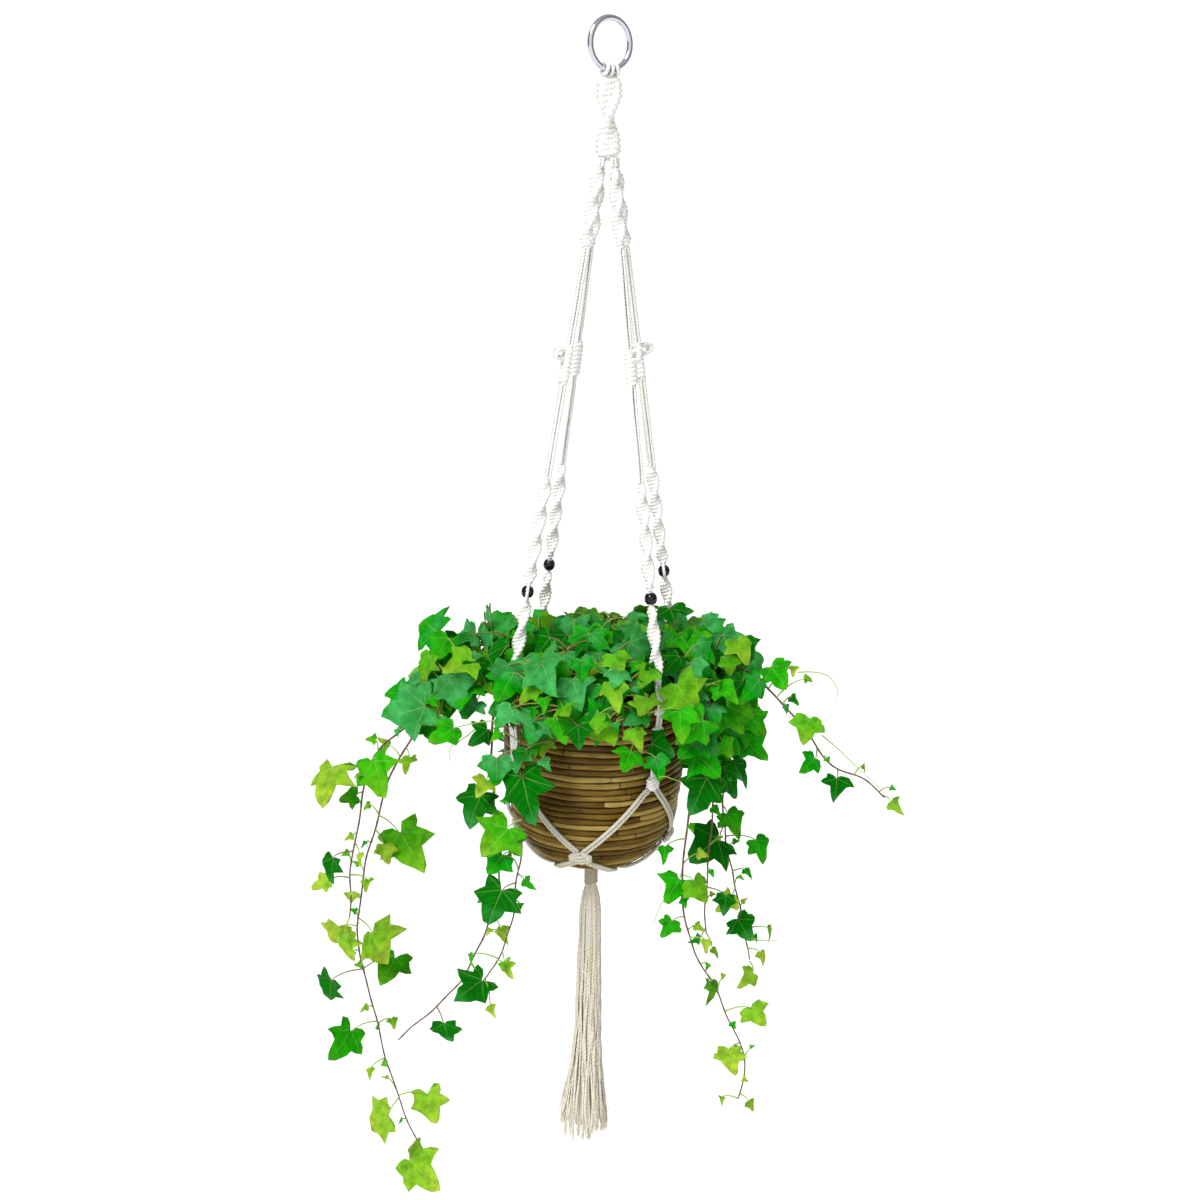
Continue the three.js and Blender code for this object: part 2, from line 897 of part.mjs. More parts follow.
function alongLine(line, distance) {
  let left = distance;
  for (let i = 1; i < line.length; i++) {
    const step = line[i].distanceTo(line[i - 1]);
    if (left <= step) return line[i - 1].clone().lerp(line[i], left / step);
    left -= step;
  }
  return line[line.length - 1].clone();
}

function lineLength(line) {
  return line.slice(1).reduce((sum, p, i) => sum + p.distanceTo(line[i]), 0);
}

// Where a leaf's stalk leaves a stem: the place nearest to a point a little above the blade's base.
function nearestOn(line, point) {
  let best = line[0];
  const length = lineLength(line);
  for (let s = 30; s < length - 1; s += 3) {
    const p = alongLine(line, s);
    if (p.distanceTo(point) < best.distanceTo(point)) best = p;
  }
  return best;
}

// A leaf from its blade's base, tip direction, face and size, with the foot of its stalk.
function makeLeaf(foot, base, tip, face, size) {
  const length = size / 1.12;
  const normal = face.clone().normalize();
  const along = tip.clone().addScaledVector(normal, -tip.dot(normal)).normalize();
  const across = along.clone().cross(normal);
  const middle = base
    .clone()
    .addScaledVector(along, BLADE_MIDDLE * length)
    .addScaledVector(normal, -BLADE_DROP * length);
  return { foot, base, along, across, normal, length, middle };
}

// How a blade faces at a place: outwards, up, and to the light at the front.
function facing(at, random) {
  const out = vec(at.x, at.y, 0).normalize();
  const light = at.y < 45 ? 0.8 : 0;
  return vec(0, 0, 0.5)
    .addScaledVector(out, 0.35)
    .addScaledVector(FRONT, light)
    .add(vec(random() - 0.5, random() - 0.5, random() - 0.5).multiplyScalar(0.7));
}

function placedLeaf(line, [x, y, z, size, swing = 0], random) {
  const middle = vec(x, y, z);
  const face = facing(middle, random).normalize();
  const rough = nearestOn(line, middle.clone().addScaledVector(UP, size * 0.4));
  const side = middle.clone().sub(rough);
  side.z = 0;
  side.normalize();
  const tip = vec(swing, 0, -1)
    .addScaledVector(side, 0.55)
    .add(vec(random() - 0.5, 0, random() - 0.5).multiplyScalar(0.5));
  const leaf = makeLeaf(rough, middle, tip, face, size);
  const base = middle.clone().addScaledVector(leaf.along, -BLADE_MIDDLE * leaf.length);
  const foot = nearestOn(line, base.clone().addScaledVector(UP, 4));
  return makeLeaf(foot, base, tip, face, size);
}

// What a new leaf must stay clear of: blades as flat round slabs, and stems and cords as beads.
const slabs = [];
const beads = [];

function strew(from, to, radius, owner) {
  const steps = Math.max(1, Math.ceil(from.distanceTo(to) / 4));
  for (let i = 0; i <= steps; i++) {
    beads.push({ at: from.clone().lerp(to, i / steps), radius, owner });
  }
}

function strewLine(line, radius, owner) {
  for (let i = 1; i < line.length; i++) strew(line[i - 1], line[i], radius, owner);
}

function keep(leaf, owner) {
  slabs.push({
    at: leaf.middle,
    normal: leaf.normal,
    radius: BLADE_RADIUS * leaf.length,
    half: BLADE_HALF * leaf.length + 0.5,
    owner,
  });
  strew(leaf.foot.clone().lerp(leaf.base, 0.25), leaf.base, PETIOLE + 0.4, owner);
}

function slabsApart(a, b) {
  const apart = b.at.clone().sub(a.at);
  if (apart.length() > a.radius + b.radius) return true;
  const cos = Math.abs(a.normal.dot(b.normal));
  const sin = Math.sqrt(Math.max(0, 1 - cos * cos));
  const need = a.half + b.half * cos + CLEAR;
  if (Math.abs(a.normal.dot(apart)) > need + b.radius * sin) return true;
  const other = b.half + a.half * cos + CLEAR;
  return Math.abs(b.normal.dot(apart)) > other + a.radius * sin;
}

function beadOffSlab(bead, slab) {
  const apart = bead.at.clone().sub(slab.at);
  const height = slab.normal.dot(apart);
  const flat = Math.sqrt(Math.max(0, apart.lengthSq() - height * height));
  const over = Math.max(0, Math.abs(height) - slab.half);
  const beyond = Math.max(0, flat - slab.radius);
  return over * over + beyond * beyond > (bead.radius + CLEAR) ** 2;
}

// Whether a point is outside the basket and the soil.
function offBasket(p) {
  const margin = 3;
  const radius = Math.hypot(p.x, p.y);
  if (p.z > BASKET.rimTop + margin) return true;
  if (radius > BASKET.rimOuter + margin) return true;
  return p.z > SOIL_TOP + margin && radius < BASKET.belly - BASKET.wall - 2 * margin;
}

function fits(leaf, owner) {
  const slab = {
    at: leaf.middle,
    normal: leaf.normal,
    radius: BLADE_RADIUS * leaf.length,
    half: BLADE_HALF * leaf.length + 0.5,
  };
  for (let i = 0; i < 16; i++) {
    const a = (Math.PI / 4) * i;
    const reach = slab.radius * (i < 8 ? 1 : 0.5);
    const p = leaf.middle
      .clone()
      .addScaledVector(leaf.along, reach * Math.cos(a))
      .addScaledVector(leaf.across, reach * Math.sin(a));
    if (!offBasket(p)) return false;
  }
  if (!offBasket(leaf.middle)) return false;
  if (leaf.middle.z > LEAF_TOP - REAR_FALL * Math.max(0, leaf.middle.y)) return false;
  if (!slabs.every((other) => slabsApart(slab, other))) return false;
  if (!beads.every((bead) => beadOffSlab(bead, slab))) return false;
  const stalk = leaf.base.clone().sub(leaf.foot);
  const steps = Math.ceil(stalk.length() / 4);
  for (let i = 1; i <= steps; i++) {
    const p = leaf.foot.clone().addScaledVector(stalk, i / steps);
    const bead = { at: p, radius: PETIOLE + 0.4 };
    if (!offBasket(p)) return false;
    if (!slabs.every((other) => beadOffSlab(bead, other))) return false;
    const near = (b) => b.owner !== owner && b.at.distanceTo(p) < b.radius + bead.radius + CLEAR;
    if (beads.some(near)) return false;
  }
  return true;
}

// One leaf at a place on a stem, or none where eight tries find no room.
function grownLeaf(foot, side, size, random, owner) {
  const out = vec(foot.x, foot.y, 0).normalize();
  const lateral = UP.clone().cross(out).multiplyScalar(side);
  for (let attempt = 0; attempt < 8; attempt++) {
    const long = size * (0.72 + 0.5 * random());
    const reach = 8 + long * (0.2 + 0.65 * random());
    const stalk = lateral
      .clone()
      .multiplyScalar(0.3 + random())
      .addScaledVector(UP, 0.2 + 0.9 * random())
      .addScaledVector(out, 0.7 * random())
      .normalize();
    const base = foot.clone().addScaledVector(stalk, reach);
    const tip = vec(0, 0, 0.1 - 1.2 * random())
      .addScaledVector(out, 0.6)
      .addScaledVector(lateral, 1.3 * random() - 0.2);
    const leaf = makeLeaf(foot, base, tip, facing(base, random), long);
    if (fits(leaf, owner)) return leaf;
  }
  return null;
}

function growAlong(line, [from, to, spacing, startSize, endSize], random, owner, leaves) {
  let side = 1;
  const end = Math.min(to, lineLength(line) - 4);
  for (let s = from; s < end; s += spacing * (0.8 + 0.4 * random())) {
    const size = mix(startSize, endSize, (s - from) / (to - from));
    const leaf = grownLeaf(alongLine(line, s), side, size, random, owner);
    side = -side;
    if (leaf) {
      keep(leaf, owner);
      leaves.push(leaf);
    }
  }
}

// A blade and its stalk as one solid: thin, folded along the midrib, split alike on both faces, with
// a notch that runs on as a flat stalk to the stem.
function leafSolid({ foot, base, along, across, normal, length }) {
  const half = length > GROWN ? FIVE_LOBES : length > YOUNG ? THREE_LOBES : SMALL_LOBES;
  const notch = PETIOLE / length;
  const right = [[notch, 0.02], ...half];
  const outline = [...right, [0, 1], ...right.map(([x, y]) => [-x, y]).reverse()];
  const top = outline.map(([x, y]) =>
    base
      .clone()
      .addScaledVector(across, x * length)
      .addScaledVector(along, y * length)
      .addScaledVector(normal, -length * (0.33 * x * x + 0.12 * (y - 0.3) ** 2)),
  );
  const stalk = base.clone().sub(foot).normalize();
  const side = stalk.clone().cross(normal).normalize().multiplyScalar(FOOT);
  top.push(foot.clone().sub(side), foot.clone().add(side));
  const below = normal.clone().multiplyScalar(-BLADE);
  const under = stalk.clone().cross(side).normalize().multiplyScalar(BLADE * 1.2);
  const bottom = top.map((p, i) => p.clone().add(i < outline.length ? below : under));
  const positions = [...top, ...bottom].flatMap((p) => p.toArray());
  const last = outline.length - 1;
  const middle = last / 2;
  const down = top.length;
  const rim = [last + 1, last + 2, ...outline.keys()];
  const triangles = [];
  const face = (a, b, c) => triangles.push(a, b, c, down + a, down + c, down + b);
  for (let i = 1; i < middle; i++) {
    face(0, i, i + 1);
    face(last, last - i - 1, last - i);
  }
  face(0, middle, last);
  face(last, last + 1, last + 2);
  face(last, last + 2, 0);
  rim.forEach((a, i) => {
    const b = rim[(i + 1) % rim.length];
    triangles.push(a, down + a, down + b, a, down + b, b);
  });
  return closed(positions, triangles);
}

function stemSolid(line) {
  const last = line.length - 1;
  const stations = line.map((at, i) => {
    const r = STEM * mix(1, 0.8, i / last);
    return { at, out: vec(0.31, -0.9, 0.3), wide: r, deep: r };
  });
  return sweep(stations, 3);
}

function shootRoute({ azimuth, reach, rise, end, bend }) {
  const at = (share, z, swing) => polar(reach * share, azimuth + swing, z).toArray();
  const low = end < -600;
  return [
    at(0.02, BUNCH.top - 8, 0),
    at(0.16, -612, 0),
    at(0.42, rise - 4, 0),
    at(0.74, rise, bend * 0.4),
    at(low ? 0.97 : 0.95, low ? mix(rise, end, 0.22) : mix(rise, end, 0.6), bend * 0.8),
    at(1, end, bend),
  ];
}

function buildIvy() {
  ARMS.forEach(({ azimuth }) => {
    const line = ARM_LINE.slice(1).map(([z, r]) => polar(r, azimuth, z));
    line.unshift(polar(armRadius(-500), azimuth, -500));
    strewLine(line, 7.6, "hanger");
  });
  const vines = VINES.map((vine) => ({ ...vine, line: eased(vine.route), grown: [] }));
  const shoots = SHOOTS.map((shoot) => ({ line: eased(shootRoute(shoot)) }));
  vines.forEach((vine) => strewLine(vine.line, STEM + 0.3, vine.name));
  shoots.forEach((shoot) => strewLine(shoot.line, STEM + 0.3, "ivy_crown"));

  const random = seeded(7);
  vines.forEach((vine) =>
    vine.leaves.forEach((spot) => {
      const leaf = placedLeaf(vine.line, spot, random);
      keep(leaf, vine.name);
      vine.grown.push(leaf);
    }),
  );
  const crown = CROWN_LEAVES.map((spot) => {
    const near = shoots
      .map(({ line }) => [line, nearestOn(line, vec(...spot)).distanceTo(vec(...spot))])
      .sort((a, b) => a[1] - b[1]);
    const leaf = placedLeaf(near[0][0], spot, random);
    keep(leaf, "ivy_crown");
    return leaf;
  });
  shoots.forEach(({ line }) => {
    const { from, spacing, start, end } = SHOOT_LEAVES;
    growAlong(line, [from, lineLength(line), spacing, start, end], random, "ivy_crown", crown);
  });
  vines.forEach((vine) =>
    vine.clothed.forEach((range) => growAlong(vine.line, range, random, vine.name, vine.grown)),
  );

  const leafSolids = (leaves) => leaves.map(leafSolid);
  vines.forEach(({ name, line, grown }) =>
    node(name, fuse([stemSolid(line), ...leafSolids(grown)]), IVY),
  );
  const bunch = [ROOT_Z, BUNCH.top].map((z, i) => {
    const r = BUNCH.radius * (i ? 0.6 : 1);
    return { at: vec(0, 0, z), out: FRONT, wide: r, deep: r };
  });
  const stems = shoots.map(({ line }) => stemSolid(line));
  node("ivy_crown", fuse([sweep(bunch, 8), ...stems, ...leafSolids(crown)]), IVY);
}

buildRing();
buildCrown();
ARMS.forEach(buildArm);
ARMS.forEach(buildBead);
ARMS.forEach(buildNetCords);
buildNetKnot("front", -7.9);
buildNetKnot("right", 82.1);
buildNetKnot("rear", 172.1);
buildNetKnot("left", -97.9);
buildGather();
buildCollar();
buildTassel();
buildBasket();
buildLiner();
buildSoil();
buildIvy();

export default part;
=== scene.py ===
"""An English ivy in a basket of coiled cane, hung in a knotted cotton hanger on a steel ring.

All sizes are millimetres until a mesh is made. +Z is up, -Y is the front of the basket, and the
origin is the inside top of the ring. Azimuths are degrees from the front, +X positive.
"""

import json
import logging
import math
from dataclasses import dataclass, field
from enum import Enum

import bpy
import numpy as np
from mathutils import Matrix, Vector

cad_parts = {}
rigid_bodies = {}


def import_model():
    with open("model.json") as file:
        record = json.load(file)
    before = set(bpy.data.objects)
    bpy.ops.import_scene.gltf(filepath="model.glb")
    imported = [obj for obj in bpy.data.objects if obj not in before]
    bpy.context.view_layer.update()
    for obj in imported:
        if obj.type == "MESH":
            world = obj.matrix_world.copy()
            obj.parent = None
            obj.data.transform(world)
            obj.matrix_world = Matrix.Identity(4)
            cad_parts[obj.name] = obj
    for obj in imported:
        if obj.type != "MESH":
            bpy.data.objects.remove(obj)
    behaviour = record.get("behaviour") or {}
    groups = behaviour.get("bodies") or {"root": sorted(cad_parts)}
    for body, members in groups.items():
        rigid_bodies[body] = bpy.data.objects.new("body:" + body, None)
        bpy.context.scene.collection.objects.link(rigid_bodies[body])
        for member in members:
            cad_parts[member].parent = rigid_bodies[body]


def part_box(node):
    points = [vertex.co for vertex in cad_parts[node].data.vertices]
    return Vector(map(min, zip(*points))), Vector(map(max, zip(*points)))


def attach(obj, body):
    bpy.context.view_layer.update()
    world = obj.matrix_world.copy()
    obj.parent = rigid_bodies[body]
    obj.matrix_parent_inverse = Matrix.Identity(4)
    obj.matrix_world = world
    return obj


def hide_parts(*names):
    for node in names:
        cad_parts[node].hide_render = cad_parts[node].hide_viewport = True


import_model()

LOG = logging.getLogger("hanging_ivy")
MM = 0.001
UP = np.array([0.0, 0.0, 1.0])
FRONT = np.array([0.0, -1.0, 0.0])
Array = np.ndarray
Number = float | Array
Rng = np.random.Generator
Piece = bpy.types.Object
Tree = bpy.types.NodeTree
Sockets = dict[str, bpy.types.NodeSocket]
# A twisted cord has three strands, which stand out by a tenth of its radius.
STRANDS = 3
STRAND_DEPTH = 0.1
# The length in which the strands go once round, for a cord with a radius of one.
LAY = 6.0
CORD_SIDES = 9
# Edges sharper than these angles stay sharp on gathered solids and on turned ones.
SOLIDS_SHARP = 80
TURNED_SHARP = 40
# Points closer than this, in metres, are one point.
SAME_POINT = 1e-6


# Helpers for places and directions


def vec(x: float, y: float, z: float) -> Array:
    """A point or direction."""
    return np.array([x, y, z], float)


def unit(v: Array) -> Array:
    """The same direction, one long."""
    return v / math.sqrt(v @ v)


def polar(radius: Number, azimuth: Number, z: Number) -> Array:
    """Points at a distance from the axis, an azimuth and a height."""
    a = np.radians(azimuth)
    return np.stack(np.broadcast_arrays(radius * np.sin(a), -radius * np.cos(a), z), axis=-1)


def mix(a: float, b: float, share: Number) -> Number:
    """The value that lies a share of the way from a to b."""
    return a + (b - a) * share


def between(table: tuple, at: Number) -> Number:
    """The second column of a table of (height, value) rows, read between its rows."""
    rows = sorted(table)
    return np.interp(at, [row[0] for row in rows], [row[1] for row in rows])


def running(path: Array) -> Array:
    """The distance along a path at each of its points."""
    return np.concatenate([[0], np.cumsum(np.linalg.norm(np.diff(path, axis=0), axis=1))])


def held(run: Array, ramp: float, least: float) -> Array:
    """A share of 1 along a line, which falls to its least over a ramp at both ends."""
    return np.clip(np.minimum(run, run[-1] - run) / ramp, least, 1)


def smooth(path: Array, rounds: int) -> None:
    """Draws each inner point of a path towards its neighbours, a number of times."""
    for _ in range(rounds):
        path[1:-1] = 0.25 * path[:-2] + 0.5 * path[1:-1] + 0.25 * path[2:]


def linear(colour: str) -> tuple[float, float, float, float]:
    """A hex colour as seen on a screen, turned into linear light."""
    parts = [int(colour[i : i + 2], 16) / 255 for i in (1, 3, 5)]
    return (*[c / 12.92 if c <= 0.04045 else ((c + 0.055) / 1.055) ** 2.4 for c in parts], 1.0)


# Meshes


def place(piece: Piece, nodes: tuple[str, ...]) -> None:
    """Lets a finished piece ride on the part and take over from its solids.

    Args:
        piece: The finished object, with its place in its mesh.
        nodes: The solids that the piece stands for.
    """
    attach(piece, "root")
    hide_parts(*nodes)


def carried(path: Array) -> tuple[Array, Array]:
    """Directions along a path and across it, carried from point to point without spinning.

    Args:
        path: Points in order.

    Returns:
        The direction of the path and one direction across it, at each point.
    """
    ahead = np.gradient(path, axis=0)
    ahead /= np.linalg.norm(ahead, axis=1)[:, None]
    start = UP if abs(ahead[0][2]) < 0.9 else FRONT
    across = np.empty_like(ahead)
    last = start
    for i, along in enumerate(ahead):
        last = last - along * (along @ last)
        last = last / math.sqrt(last @ last)
        across[i] = last
    return ahead, across


def shown(name: str, mesh: bpy.types.Mesh) -> Piece:
    """Puts a mesh into the scene as the one selected object.

    Args:
        name: The name of the object.
        mesh: Its mesh.

    Returns:
        The new object.
    """
    piece = bpy.data.objects.new(name, mesh)
    bpy.context.scene.collection.objects.link(piece)
    bpy.ops.object.select_all(action="DESELECT")
    bpy.context.view_layer.objects.active = piece
    piece.select_set(True)
    return piece


class Solids:
    """Closed solids gathered for one mesh, with a UV map and a tone at each point."""

    def __init__(self) -> None:
        """Starts empty."""
        self.points: list[Array] = []
        self.tones: list[Array] = []
        self.faces: list[list[int]] = []
        self.corners: list[Array] = []
        self.finishes: list[int] = []
        self.count = 0

    def add(self, points: Array, blocks: list[tuple[Array, Array, int]], tone: float) -> None:
        """Adds one solid.

        Args:
            points: Its points.
            blocks: Faces of one size with the UV place of each corner and a finish.
            tone: A number for its finish, such as its age.
        """
        for faces, corners, finish in blocks:
            self.faces += (faces + self.count).tolist()
            self.corners.append(corners.reshape(-1, 2))
            self.finishes += [finish] * len(faces)
        self.points.append(points)
        self.tones.append(np.full(len(points), tone))
        self.count += len(points)

    def tube(
        self, path: Array, radius: Number, sides: int = 8, tone: float = 0.0, finish: int = 0,
        lay: float = 0.0,
    ) -> None:
        """Adds a closed tube whose UV map runs along it in metres and once round it.

        Args:
            path: Its middle, point by point.
            radius: One radius, or one for each point.
            sides: Faces round it.
            tone: A number for its finish.
            finish: The finish of its faces.
            lay: The length in which its twisted strands go once round, or 0 for a round tube.
        """
        path = np.asarray(path, float)
        count = len(path)
        ahead, normal = carried(path)
        side = np.cross(ahead, normal)
        run = running(path)
        angle = 2 * np.pi * np.arange(sides) / sides
        turn = angle[None] + (2 * np.pi * run / lay if lay else 0 * run)[:, None]
        strands = 1 + (STRAND_DEPTH * np.cos(STRANDS * angle) if lay else 0 * angle)
        reach = np.broadcast_to(radius, count)[:, None] * strands[None]
        ring = path[:, None] + reach[..., None] * (
            np.cos(turn)[..., None] * normal[:, None] + np.sin(turn)[..., None] * side[:, None]
        )
        k, i = np.meshgrid(np.arange(count - 1), np.arange(sides), indexing="ij")
        k, i = k.ravel(), i.ravel()
        j = (i + 1) % sides
        quads = np.stack([k * sides + i, k * sides + j, (k + 1) * sides + j, (k + 1) * sides + i], 1)
        u = run * MM
        v = i / sides
        w = (i + 1) / sides
        spots = ((u[k], v), (u[k], w), (u[k + 1], w), (u[k + 1], v))
        corners = np.stack([np.stack(spot, 1) for spot in spots], 1)
        ends = np.stack([np.arange(sides)[::-1], (count - 1) * sides + np.arange(sides)])
        caps = np.zeros((2, sides, 2))
        caps[1, :, 0] = u[-1]
        self.add(ring.reshape(-1, 3), [(quads, corners, finish), (ends, caps, finish)], tone)

    def cord(self, path: Array, radius: float, lay: float = 0.0) -> None:
        """Adds a twisted cord, whose lay is the usual one for its radius where it is 0."""
        self.tube(path, radius, CORD_SIDES, lay=lay or LAY * radius)

    def mesh(self, name: str, finishes: list[bpy.types.Material]) -> Piece:
        """Makes the mesh and its object.

        Args:
            name: The name of the piece.
            finishes: Its materials, in the order of their numbers.

        Returns:
            The new object.
        """
        mesh = bpy.data.meshes.new(name)
        mesh.from_pydata((np.concatenate(self.points) * MM).tolist(), [], self.faces)
        mesh.uv_layers.new(name="UVMap").data.foreach_set("uv", np.concatenate(self.corners).ravel())
        tones = mesh.attributes.new("tone", "FLOAT", "POINT")
        tones.data.foreach_set("value", np.concatenate(self.tones))
        mesh.polygons.foreach_set("material_index", self.finishes)
        for finish in finishes:
            mesh.materials.append(finish)
        piece = shown(name, mesh)
        bpy.ops.object.shade_smooth_by_angle(angle=math.radians(SOLIDS_SHARP))
        return piece


def turned(name: str, profile: list[tuple[float, float]], steps: int) -> Piece:
    """A solid of revolution about the axis, spun from its profile.

    Args:
        name: The name of the piece.
        profile: Points of (distance from the axis, height) that end on the axis, or close.
        steps: Faces round it.

    Returns:
        The new object, smooth apart from its sharp edges.
    """
    mesh = bpy.data.meshes.new(name)
    edges = [(i, i + 1) for i in range(len(profile) - 1)]
    mesh.from_pydata([(r * MM, 0, z * MM) for r, z in profile], edges, [])
    piece = shown(name, mesh)
    bpy.ops.object.mode_set(mode="EDIT")
    bpy.ops.mesh.select_all(action="SELECT")
    bpy.ops.mesh.spin(steps=steps, angle=2 * math.pi, center=(0, 0, 0), axis=(0, 0, 1))
    bpy.ops.mesh.select_all(action="SELECT")
    bpy.ops.mesh.remove_doubles(threshold=SAME_POINT)
    bpy.ops.mesh.normals_make_consistent(inside=False)
    bpy.ops.object.mode_set(mode="OBJECT")
    bpy.ops.object.shade_smooth_by_angle(angle=math.radians(TURNED_SHARP))
    return piece


# Finishes


def add(
    tree: Tree, kind: str, inputs: dict | tuple = (), stops: tuple = (), **settings: object
) -> bpy.types.Node:
    """Adds a node with its settings and links.

    Args:
        tree: The node tree.
        kind: The type of shader node.
        inputs: A value, an output, or a node for its first output, by name or in order.
        stops: Places and colours for a ramp, its two ends first.
        **settings: Its own settings.

    Returns:
        The new node.
    """
    made = tree.nodes.new("ShaderNode" + kind)
    for key, value in settings.items():
        setattr(made, key, value)
    for key, value in inputs.items() if isinstance(inputs, dict) else enumerate(inputs):
        if isinstance(value, bpy.types.Node):
            value = value.outputs[0]
        if isinstance(value, bpy.types.NodeSocket):
            tree.links.new(value, made.inputs[key])
        else:
            made.inputs[key].default_value = value
    for i, (at, colour) in enumerate(stops):
        spots = made.color_ramp.elements
        spot = spots[i] if i < 2 else spots.new(at)
        spot.position = at
        spot.color = linear(colour)
    return made


def per(size: float) -> float:
    """The scale of a pattern from its real size in millimetres."""
    return 1 / (size * MM)


@dataclass(frozen=True)
class Finish:
    """A material with typical values for its kind, and a pattern of its own."""

    name: str
    colour: str
    roughness: float
    metallic: float = 0.0
    ior: float = 1.5
    gloss: float = 0.5

    def make(self) -> bpy.types.Material:
        """Builds the material.

        Returns:
            The material, ready for a mesh.
        """
        material = bpy.data.materials.new(self.name)
        material.use_nodes = True
        material.diffuse_color = linear(self.colour)
        tree = material.node_tree
        shader = tree.nodes["Principled BSDF"]
        shader.inputs["Base Color"].default_value = linear(self.colour)
        shader.inputs["Roughness"].default_value = self.roughness
        shader.inputs["Metallic"].default_value = self.metallic
        shader.inputs["Specular IOR Level"].default_value = self.gloss
        if not self.metallic:
            shader.inputs["IOR"].default_value = self.ior
        for socket, source in self.dress(tree).items():
            tree.links.new(source, shader.inputs[socket])
        return material

    def dress(self, tree: Tree) -> Sockets:
        """Adds the pattern of the finish.

        Args:
            tree: The material's nodes.

        Returns:
            The output for each shader socket.
        """
        return {}


@dataclass(frozen=True)
class PolishedSteel(Finish):
    """Bent and polished steel wire: a clear mirror with fine marks, a size in millimetres apart."""

    mark: float = 0.8

    def dress(self, tree: Tree) -> Sockets:
        """Marks left by the polishing mop.

        Args:
            tree: The material's nodes.

        Returns:
            The output for each shader socket.
        """
        at = add(tree, "TexCoord").outputs["Object"]
        marks = add(tree, "TexNoise", {"Vector": at, "Scale": per(self.mark), "Detail": 3.0})
        rough = add(tree, "MapRange", {"Value": marks, "To Min": 0.08, "To Max": 0.2})
        bump = add(tree, "Bump", {"Height": marks, "Strength": 0.15, "Distance": 0.04 * MM})
        return {"Roughness": rough.outputs[0], "Normal": bump.outputs[0]}


@dataclass(frozen=True)
class TwistedCotton(Finish):
    """Three-strand cotton cord: matt fibres along each strand, with shade in the grooves."""

    # The colour of the painted shade in the grooves between the strands.
    groove_shade: str = "#D3D0C7"
    # A fibre is too fine to see, so bundles of 0.35 mm are drawn, which is 36 round a cord.
    bundles_round: float = 36.0
    bundle_length: float = 6.667
    spot: float = 22.2

    def dress(self, tree: Tree) -> Sockets:
        """Painted shade in the grooves between the strands, bundles of fibres that run with them, and faint
        spots.

        Args:
            tree: The material's nodes.

        Returns:
            The output for each shader socket.
        """
        places = add(tree, "TexCoord").outputs
        uv = places["UV"]
        across = add(tree, "SeparateXYZ", (uv,)).outputs[1]
        strands = add(tree, "Math", (across, float(STRANDS)), operation="MULTIPLY")
        wave = add(tree, "Math", (strands, 0.5), operation="PINGPONG")
        crest = add(tree, "MapRange", {"Value": wave, "From Min": 0.2, "From Max": 0.5})
        stretch = (per(self.bundle_length), self.bundles_round, 1.0)
        along = add(tree, "Mapping", {"Vector": uv, "Scale": stretch})
        fibres = add(tree, "TexNoise", {"Vector": along, "Scale": 1.0, "Detail": 4.0})
        spots = add(tree, "TexNoise", {"Vector": places["Object"], "Scale": per(self.spot), "Detail": 2.0})
        tone = add(tree, "Attribute", attribute_name="tone").outputs["Fac"]
        # The crest mask darkens the grooves towards groove_shade: painted shade where the strands meet.
        value = 1.0
        for part, weight in ((crest, -0.45), (fibres, 0.5), (spots, 0.3), (tone, -0.35)):
            value = add(tree, "Math", (part, weight, value), operation="MULTIPLY_ADD")
        half = add(tree, "Math", (value, 0.5), operation="MULTIPLY")
        shade = add(tree, "ValToRGB", (half,), ((0.36, self.groove_shade), (0.6, self.colour)))
        height = add(tree, "Math", (fibres, 0.4, wave), operation="MULTIPLY_ADD")
        relief = {"Height": height, "Strength": 0.6, "Distance": 0.4 * MM}
        bump = add(tree, "Bump", relief, invert=True)
        return {"Base Color": shade.outputs[0], "Normal": bump.outputs[0]}


@dataclass(frozen=True)
class PeeledCane(Finish):
    """Peeled and oiled rattan cane: long fibres, a soft gloss, and darker rings at its nodes."""

    pale: str = "#A8904E"
    dark: str = "#281A02"
    ring: str = "#3A2510"
    node_gap: float = 210.0
    fibre_length: float = 18.2
    fibres_round: float = 14.0
    stain: float = 38.5

    def dress(self, tree: Tree) -> Sockets:
        """Fibres along the cane, a tone for each length of it, stains, and a ring at each node.

        Args:
            tree: The material's nodes.

        Returns:
            The output for each shader socket.
        """
        places = add(tree, "TexCoord").outputs
        uv = places["UV"]
        tone = add(tree, "Attribute", attribute_name="tone").outputs["Fac"]
        stretch = (per(self.fibre_length), self.fibres_round, 1.0)
        along = add(tree, "Mapping", {"Vector": uv, "Scale": stretch})
        fibres = add(tree, "TexNoise", {"Vector": along, "Scale": 1.0, "Detail": 5.0})
        cells = {"Vector": places["Object"], "Scale": per(self.stain), "Detail": 3.0}
        stains = add(tree, "TexNoise", cells)
        value = add(tree, "Math", (tone, -0.59), operation="ADD")
        for part, weight in ((fibres, 0.55), (stains, 0.7)):
            value = add(tree, "Math", (part, weight, value), operation="MULTIPLY_ADD")
        stops = ((0.05, self.dark), (0.95, self.pale), (0.5, self.colour))
        shade = add(tree, "ValToRGB", (value,), stops)
        length = add(tree, "SeparateXYZ", (uv,))
        shifted = add(tree, "Math", (tone, 0.7, length), operation="MULTIPLY_ADD")
        step = add(tree, "Math", (shifted, self.node_gap * MM / 2), operation="PINGPONG")
        edge = {"Value": step, "From Min": 0.4 * MM, "From Max": 1.6 * MM, "To Min": 0.75, "To Max": 0.0}
        node = add(tree, "MapRange", edge)
        ringed = add(tree, "Mix", {0: node, 6: shade, 7: linear(self.ring)}, data_type="RGBA")
        bump = add(tree, "Bump", {"Height": fibres, "Strength": 0.35, "Distance": 0.3 * MM})
        return {"Base Color": ringed.outputs[2], "Normal": bump.outputs[0]}


